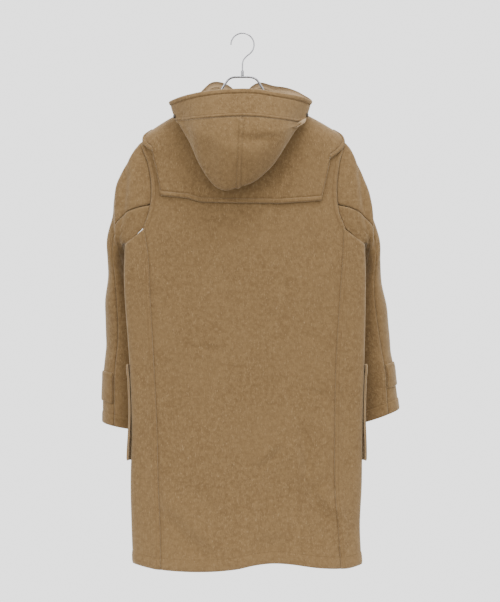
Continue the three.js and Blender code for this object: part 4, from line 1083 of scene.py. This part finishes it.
def make_patch(name, from_x, to_x, z):
    """A leather patch with softened corners and a stitched edge."""
    u = np.linspace(-1, 1, 26)[None, :]
    v = np.linspace(-1, 1, 22)[:, None]
    round_u = u * (1 - 0.03 * np.abs(v) ** 8)
    round_v = v * (1 - 0.03 * np.abs(u) ** 8)
    x = mix(from_x, to_x, (round_u + 1) / 2)
    height = z + 17 * round_v
    spots, out = torso_skin(angle_of(x, height, -1, from_x > -50), height)
    if from_x > -FRONT_OVERLAP:
        spots[..., 1] -= overlap_lift(spots[..., 0])
    edge = np.minimum.reduce([edge_distance(spots, 0), edge_distance(spots, 0, True),
                              edge_distance(spots, 1), edge_distance(spots, 1, True)])
    relief = 3.0 - 1.0 * (1 - ease(0, 2, edge)) - 0.35 * np.exp(-((edge - 3) / 0.8) ** 2)
    vertices, faces, _ = wall_mesh(spots + out * relief[..., None], out, 1.8)
    return new_object(f"{name}_leather", vertices, faces, name, MATERIALS["leather"])


def tube_mesh(route, radius, sides=14, flatten=1.0):
    """A closed round tube along a route, with flat caps at its ends. radius may change along it."""
    route = np.asarray(route, float)
    radius = np.broadcast_to(radius, len(route))
    tangent = unit(np.gradient(route, axis=0))
    normal = np.cross(tangent[0], [0, 1, 0] if abs(tangent[0][1]) < 0.9 else [1, 0, 0])
    angles = np.linspace(0, 2 * np.pi, sides, endpoint=False)
    rings = []
    for k, spot in enumerate(route):
        normal = unit(normal - tangent[k] * np.dot(normal, tangent[k]))
        side = np.cross(tangent[k], normal)
        ring = np.cos(angles)[:, None] * normal + flatten * np.sin(angles)[:, None] * side
        rings.append(spot + radius[k] * ring)
    vertices = np.concatenate([*rings, route[:1], route[-1:]])
    faces = []
    for k in range(len(route) - 1):
        for s in range(sides):
            n = (s + 1) % sides
            faces.append([k * sides + s, k * sides + n, (k + 1) * sides + n, (k + 1) * sides + s])
    first, last = len(vertices) - 2, len(vertices) - 1
    end = (len(route) - 1) * sides
    for s in range(sides):
        n = (s + 1) % sides
        faces += [[first, n, s], [last, end + s, end + n]]
    return vertices, faces


def smooth_route(knots, count):
    """A Catmull-Rom curve through knots."""
    values = np.array(knots, float)
    at = np.linspace(0, len(values) - 1, count)
    rows = [{"k": k, "p": value} for k, value in enumerate(values)]
    return follow(rows, "k")(at, "p")


def make_tube(name, node_name, knots, radius, count, material, flatten=1.0):
    route = smooth_route(knots, count)
    vertices, faces = tube_mesh(route, radius, 14, flatten)
    return new_object(name, vertices, faces, node_name, MATERIALS[material])


def make_closure(k, z):
    y = front_level(z)
    make_patch(f"loop_patch_{k}", -2, 44, z)
    make_patch(f"toggle_patch_{k}", -122, -78, z)
    cord_y = y - 2.4
    half = [(-4, 8), (-22, 8), (-44, 8), (-58, 7.4), (-65.5, 4.4)]
    route = [*half, (-68, 0), *[(x, -up) for x, up in reversed(half)]]
    make_tube(f"loop_cord_{k}_twist", f"loop_cord_{k}", [(x, cord_y, z + up) for x, up in route],
              1.8, 90, "cord")
    half = [(-76.6, 3, 2.8), (-74.6, -3, 2.8), (-71.4, -9, 2.6), (-68.6, -11.3, 1.6)]
    route = [*half, (-67.4, -11.6, 0), *[(x, out, -up) for x, out, up in reversed(half)]]
    make_tube(f"toggle_cord_{k}_twist", f"toggle_cord_{k}", [(x, y + out, z + up) for x, out, up in route],
              1.45, 60, "cord")
    make_toggle(k, z, y - 11.6)


def make_toggle(k, z, y):
    """A turned wooden toggle with a waist for its cord."""
    along = np.concatenate([[-23, -22.9], np.linspace(-22.4, 22.4, 60), [22.9, 23]])
    away = np.abs(along)
    radius = 6.5 * np.sqrt(np.clip(1 - (away / 23.2) ** 4, 0.02, 1)) - 1.9 * np.exp(-(away / 3.2) ** 2)
    radius = radius - 1.2 * ease(12, 23, away)
    route = points(-60 + 0 * along, y + 0 * along, z + along)
    vertices, faces = tube_mesh(route, radius, 26)
    new_object(f"toggle_{k}_wood", vertices, faces, f"toggle_{k}", MATERIALS["wood"])


def make_snaps():
    for side, name in ((1, "left"), (-1, "right")):
        spot, out = hood_skin(np.array([[side * 4.75]]), np.array([[5.25]]))
        spot, out = spot[0, 0], out[0, 0]
        away = np.array([0, 0.6, 1.3, 2.0, 2.4, 2.7])
        radius = np.array([4.6, 4.7, 4.4, 3.2, 2.4, 0.6])
        vertices, faces = tube_mesh(spot + out * (0.8 + away[:, None]), radius, 24)
        new_object(f"hood_snap_{name}_cap", vertices, faces, f"hood_snap_{name}",
                   MATERIALS["snap"])


# The hanger


def make_hanger():
    wire, radius, stem_end, arch = 1.6, 26, -82, -97
    angles = np.radians(np.linspace(0, 228, 17))
    bow = [(radius * math.cos(a), 0, wire - radius + radius * math.sin(a)) for a in angles]
    stem = [(-9.5, 0, -50), (-3, 0, -57.5), (-0.4, 0, -65), (0, 0, -73), (0, 0, stem_end)]
    make_tube("hanger_hook_wire", "hanger_hook", [*bow, *stem], wire, 200, "steel")
    half = [(0, arch), (18, arch - 0.4), (29, arch - 4), (37, arch - 13), (54, -138), (66, -160)]

    def arm(side):
        spots = []
        for z in (-170, -178, -188, -200, -214, -228):
            slope = float(half_width(z - 2, side) - half_width(z + 2, side)) / 4
            down = 7.2 / math.hypot(1, slope)
            spots.append((side * (float(half_width(z, side)) - down), 0, z - down * slope))
        return spots

    left = [(x, 0, z) for x, z in half[1:]] + arm(1)
    right = [(-x, 0, z) for x, z in half[1:]] + arm(-1)
    route = [*reversed(right), (0, 0, arch), *left]
    make_tube("hanger_frame_bar", "hanger_frame", route, 2.5, 260, "steel", 2.0)
    make_ferrule(stem_end, arch)


def make_ferrule(stem_end, arch):
    """The clip that holds the wire: two turns of wire and a collar."""
    high, low = stem_end - 0.4, arch + 3.0
    along = np.linspace(high, low, 60)
    share = (high - along) / (high - low)
    radius = 3.3 + 0.35 * np.abs(np.sin(share * math.pi * 4)) - 0.8 * np.exp(-(share / 0.04) ** 2)
    route = points(0 * along, 0 * along, along)
    vertices, faces = tube_mesh(route, radius, 24)
    new_object("hanger_ferrule_clip", vertices, faces, "hanger_ferrule", MATERIALS["steel"])


# Stage


def add_light(name, place, target, size, power):
    light = bpy.data.lights.new(name, "AREA")
    light.energy = power
    light.shape = "RECTANGLE"
    light.size, light.size_y = size
    lamp = bpy.data.objects.new(name, light)
    lamp.location = place
    direction = np.array(target) - np.array(place)
    lamp.rotation_euler = Vector(direction).to_track_quat("-Z", "Y").to_euler()
    bpy.context.scene.collection.objects.link(lamp)


def make_world():
    """Bright all round and above, and dim from below."""
    world = bpy.data.worlds.new("studio")
    world.use_nodes = True
    tree = world.node_tree
    place = tree.nodes.new("ShaderNodeTexCoord").outputs["Generated"]
    parts = tree.nodes.new("ShaderNodeSeparateXYZ")
    tree.links.new(place, parts.inputs["Vector"])
    limits = {"From Min": -0.5, "From Max": -0.22, "To Min": 0.35, "To Max": 2.3}
    height = node(tree, "ShaderNodeMapRange", **limits)
    tree.links.new(parts.outputs["Z"], height.inputs["Value"])
    background = tree.nodes["Background"]
    background.inputs["Color"].default_value = (1, 1, 1, 1)
    tree.links.new(height.outputs["Result"], background.inputs["Strength"])
    bpy.context.scene.world = world


def make_stage():
    make_world()
    add_light("top_light", (-0.5, 1.1, 1.9), (0, 0, -0.5), (1.2, 0.9), 60)
    add_light("back_light", (0.9, 2.2, 0.6), (0, 0, -0.6), (1.2, 1.2), 14)
    add_light("front_light", (0.6, -2.4, 1.2), (0, 0, -0.6), (1.6, 1.6), 34)
    bpy.ops.mesh.primitive_circle_add(vertices=96, radius=0.85, fill_type="NGON", location=(0, 0, -1.56))
    floor = bpy.context.object
    floor.name = "floor"
    material, tree, bsdf = start_material("floor_paint", Roughness=0.8)
    place = tree.nodes.new("ShaderNodeTexCoord").outputs["Object"]
    grain = noise(tree, place, 40, 3)
    colour = mix_colour(tree, grain, (0.82, 0.82, 0.81, 1), (0.86, 0.86, 0.85, 1))
    tree.links.new(colour, bsdf.inputs["Base Color"])
    floor.data.materials.append(material)


def make_camera():
    camera = bpy.data.cameras.new("camera")
    camera.sensor_fit = "HORIZONTAL"
    camera.sensor_width = 36
    camera.lens = 115.2
    holder = bpy.data.objects.new("camera", camera)
    holder.location = (-0.017, 3.6, -0.601)
    holder.rotation_euler = (math.pi / 2, 0, math.pi)
    bpy.context.scene.collection.objects.link(holder)
    bpy.context.scene.camera = holder


make_camera()
make_stage()
make_back()
make_front(1)
make_front(-1)
make_yoke()
make_hood()
for side in (1, -1):
    make_sleeve(side)
    make_cuff_tab(side)
    make_pocket(side)
for number, level in enumerate(TOGGLE_LEVELS):
    make_closure(number + 1, level)
make_hanger()
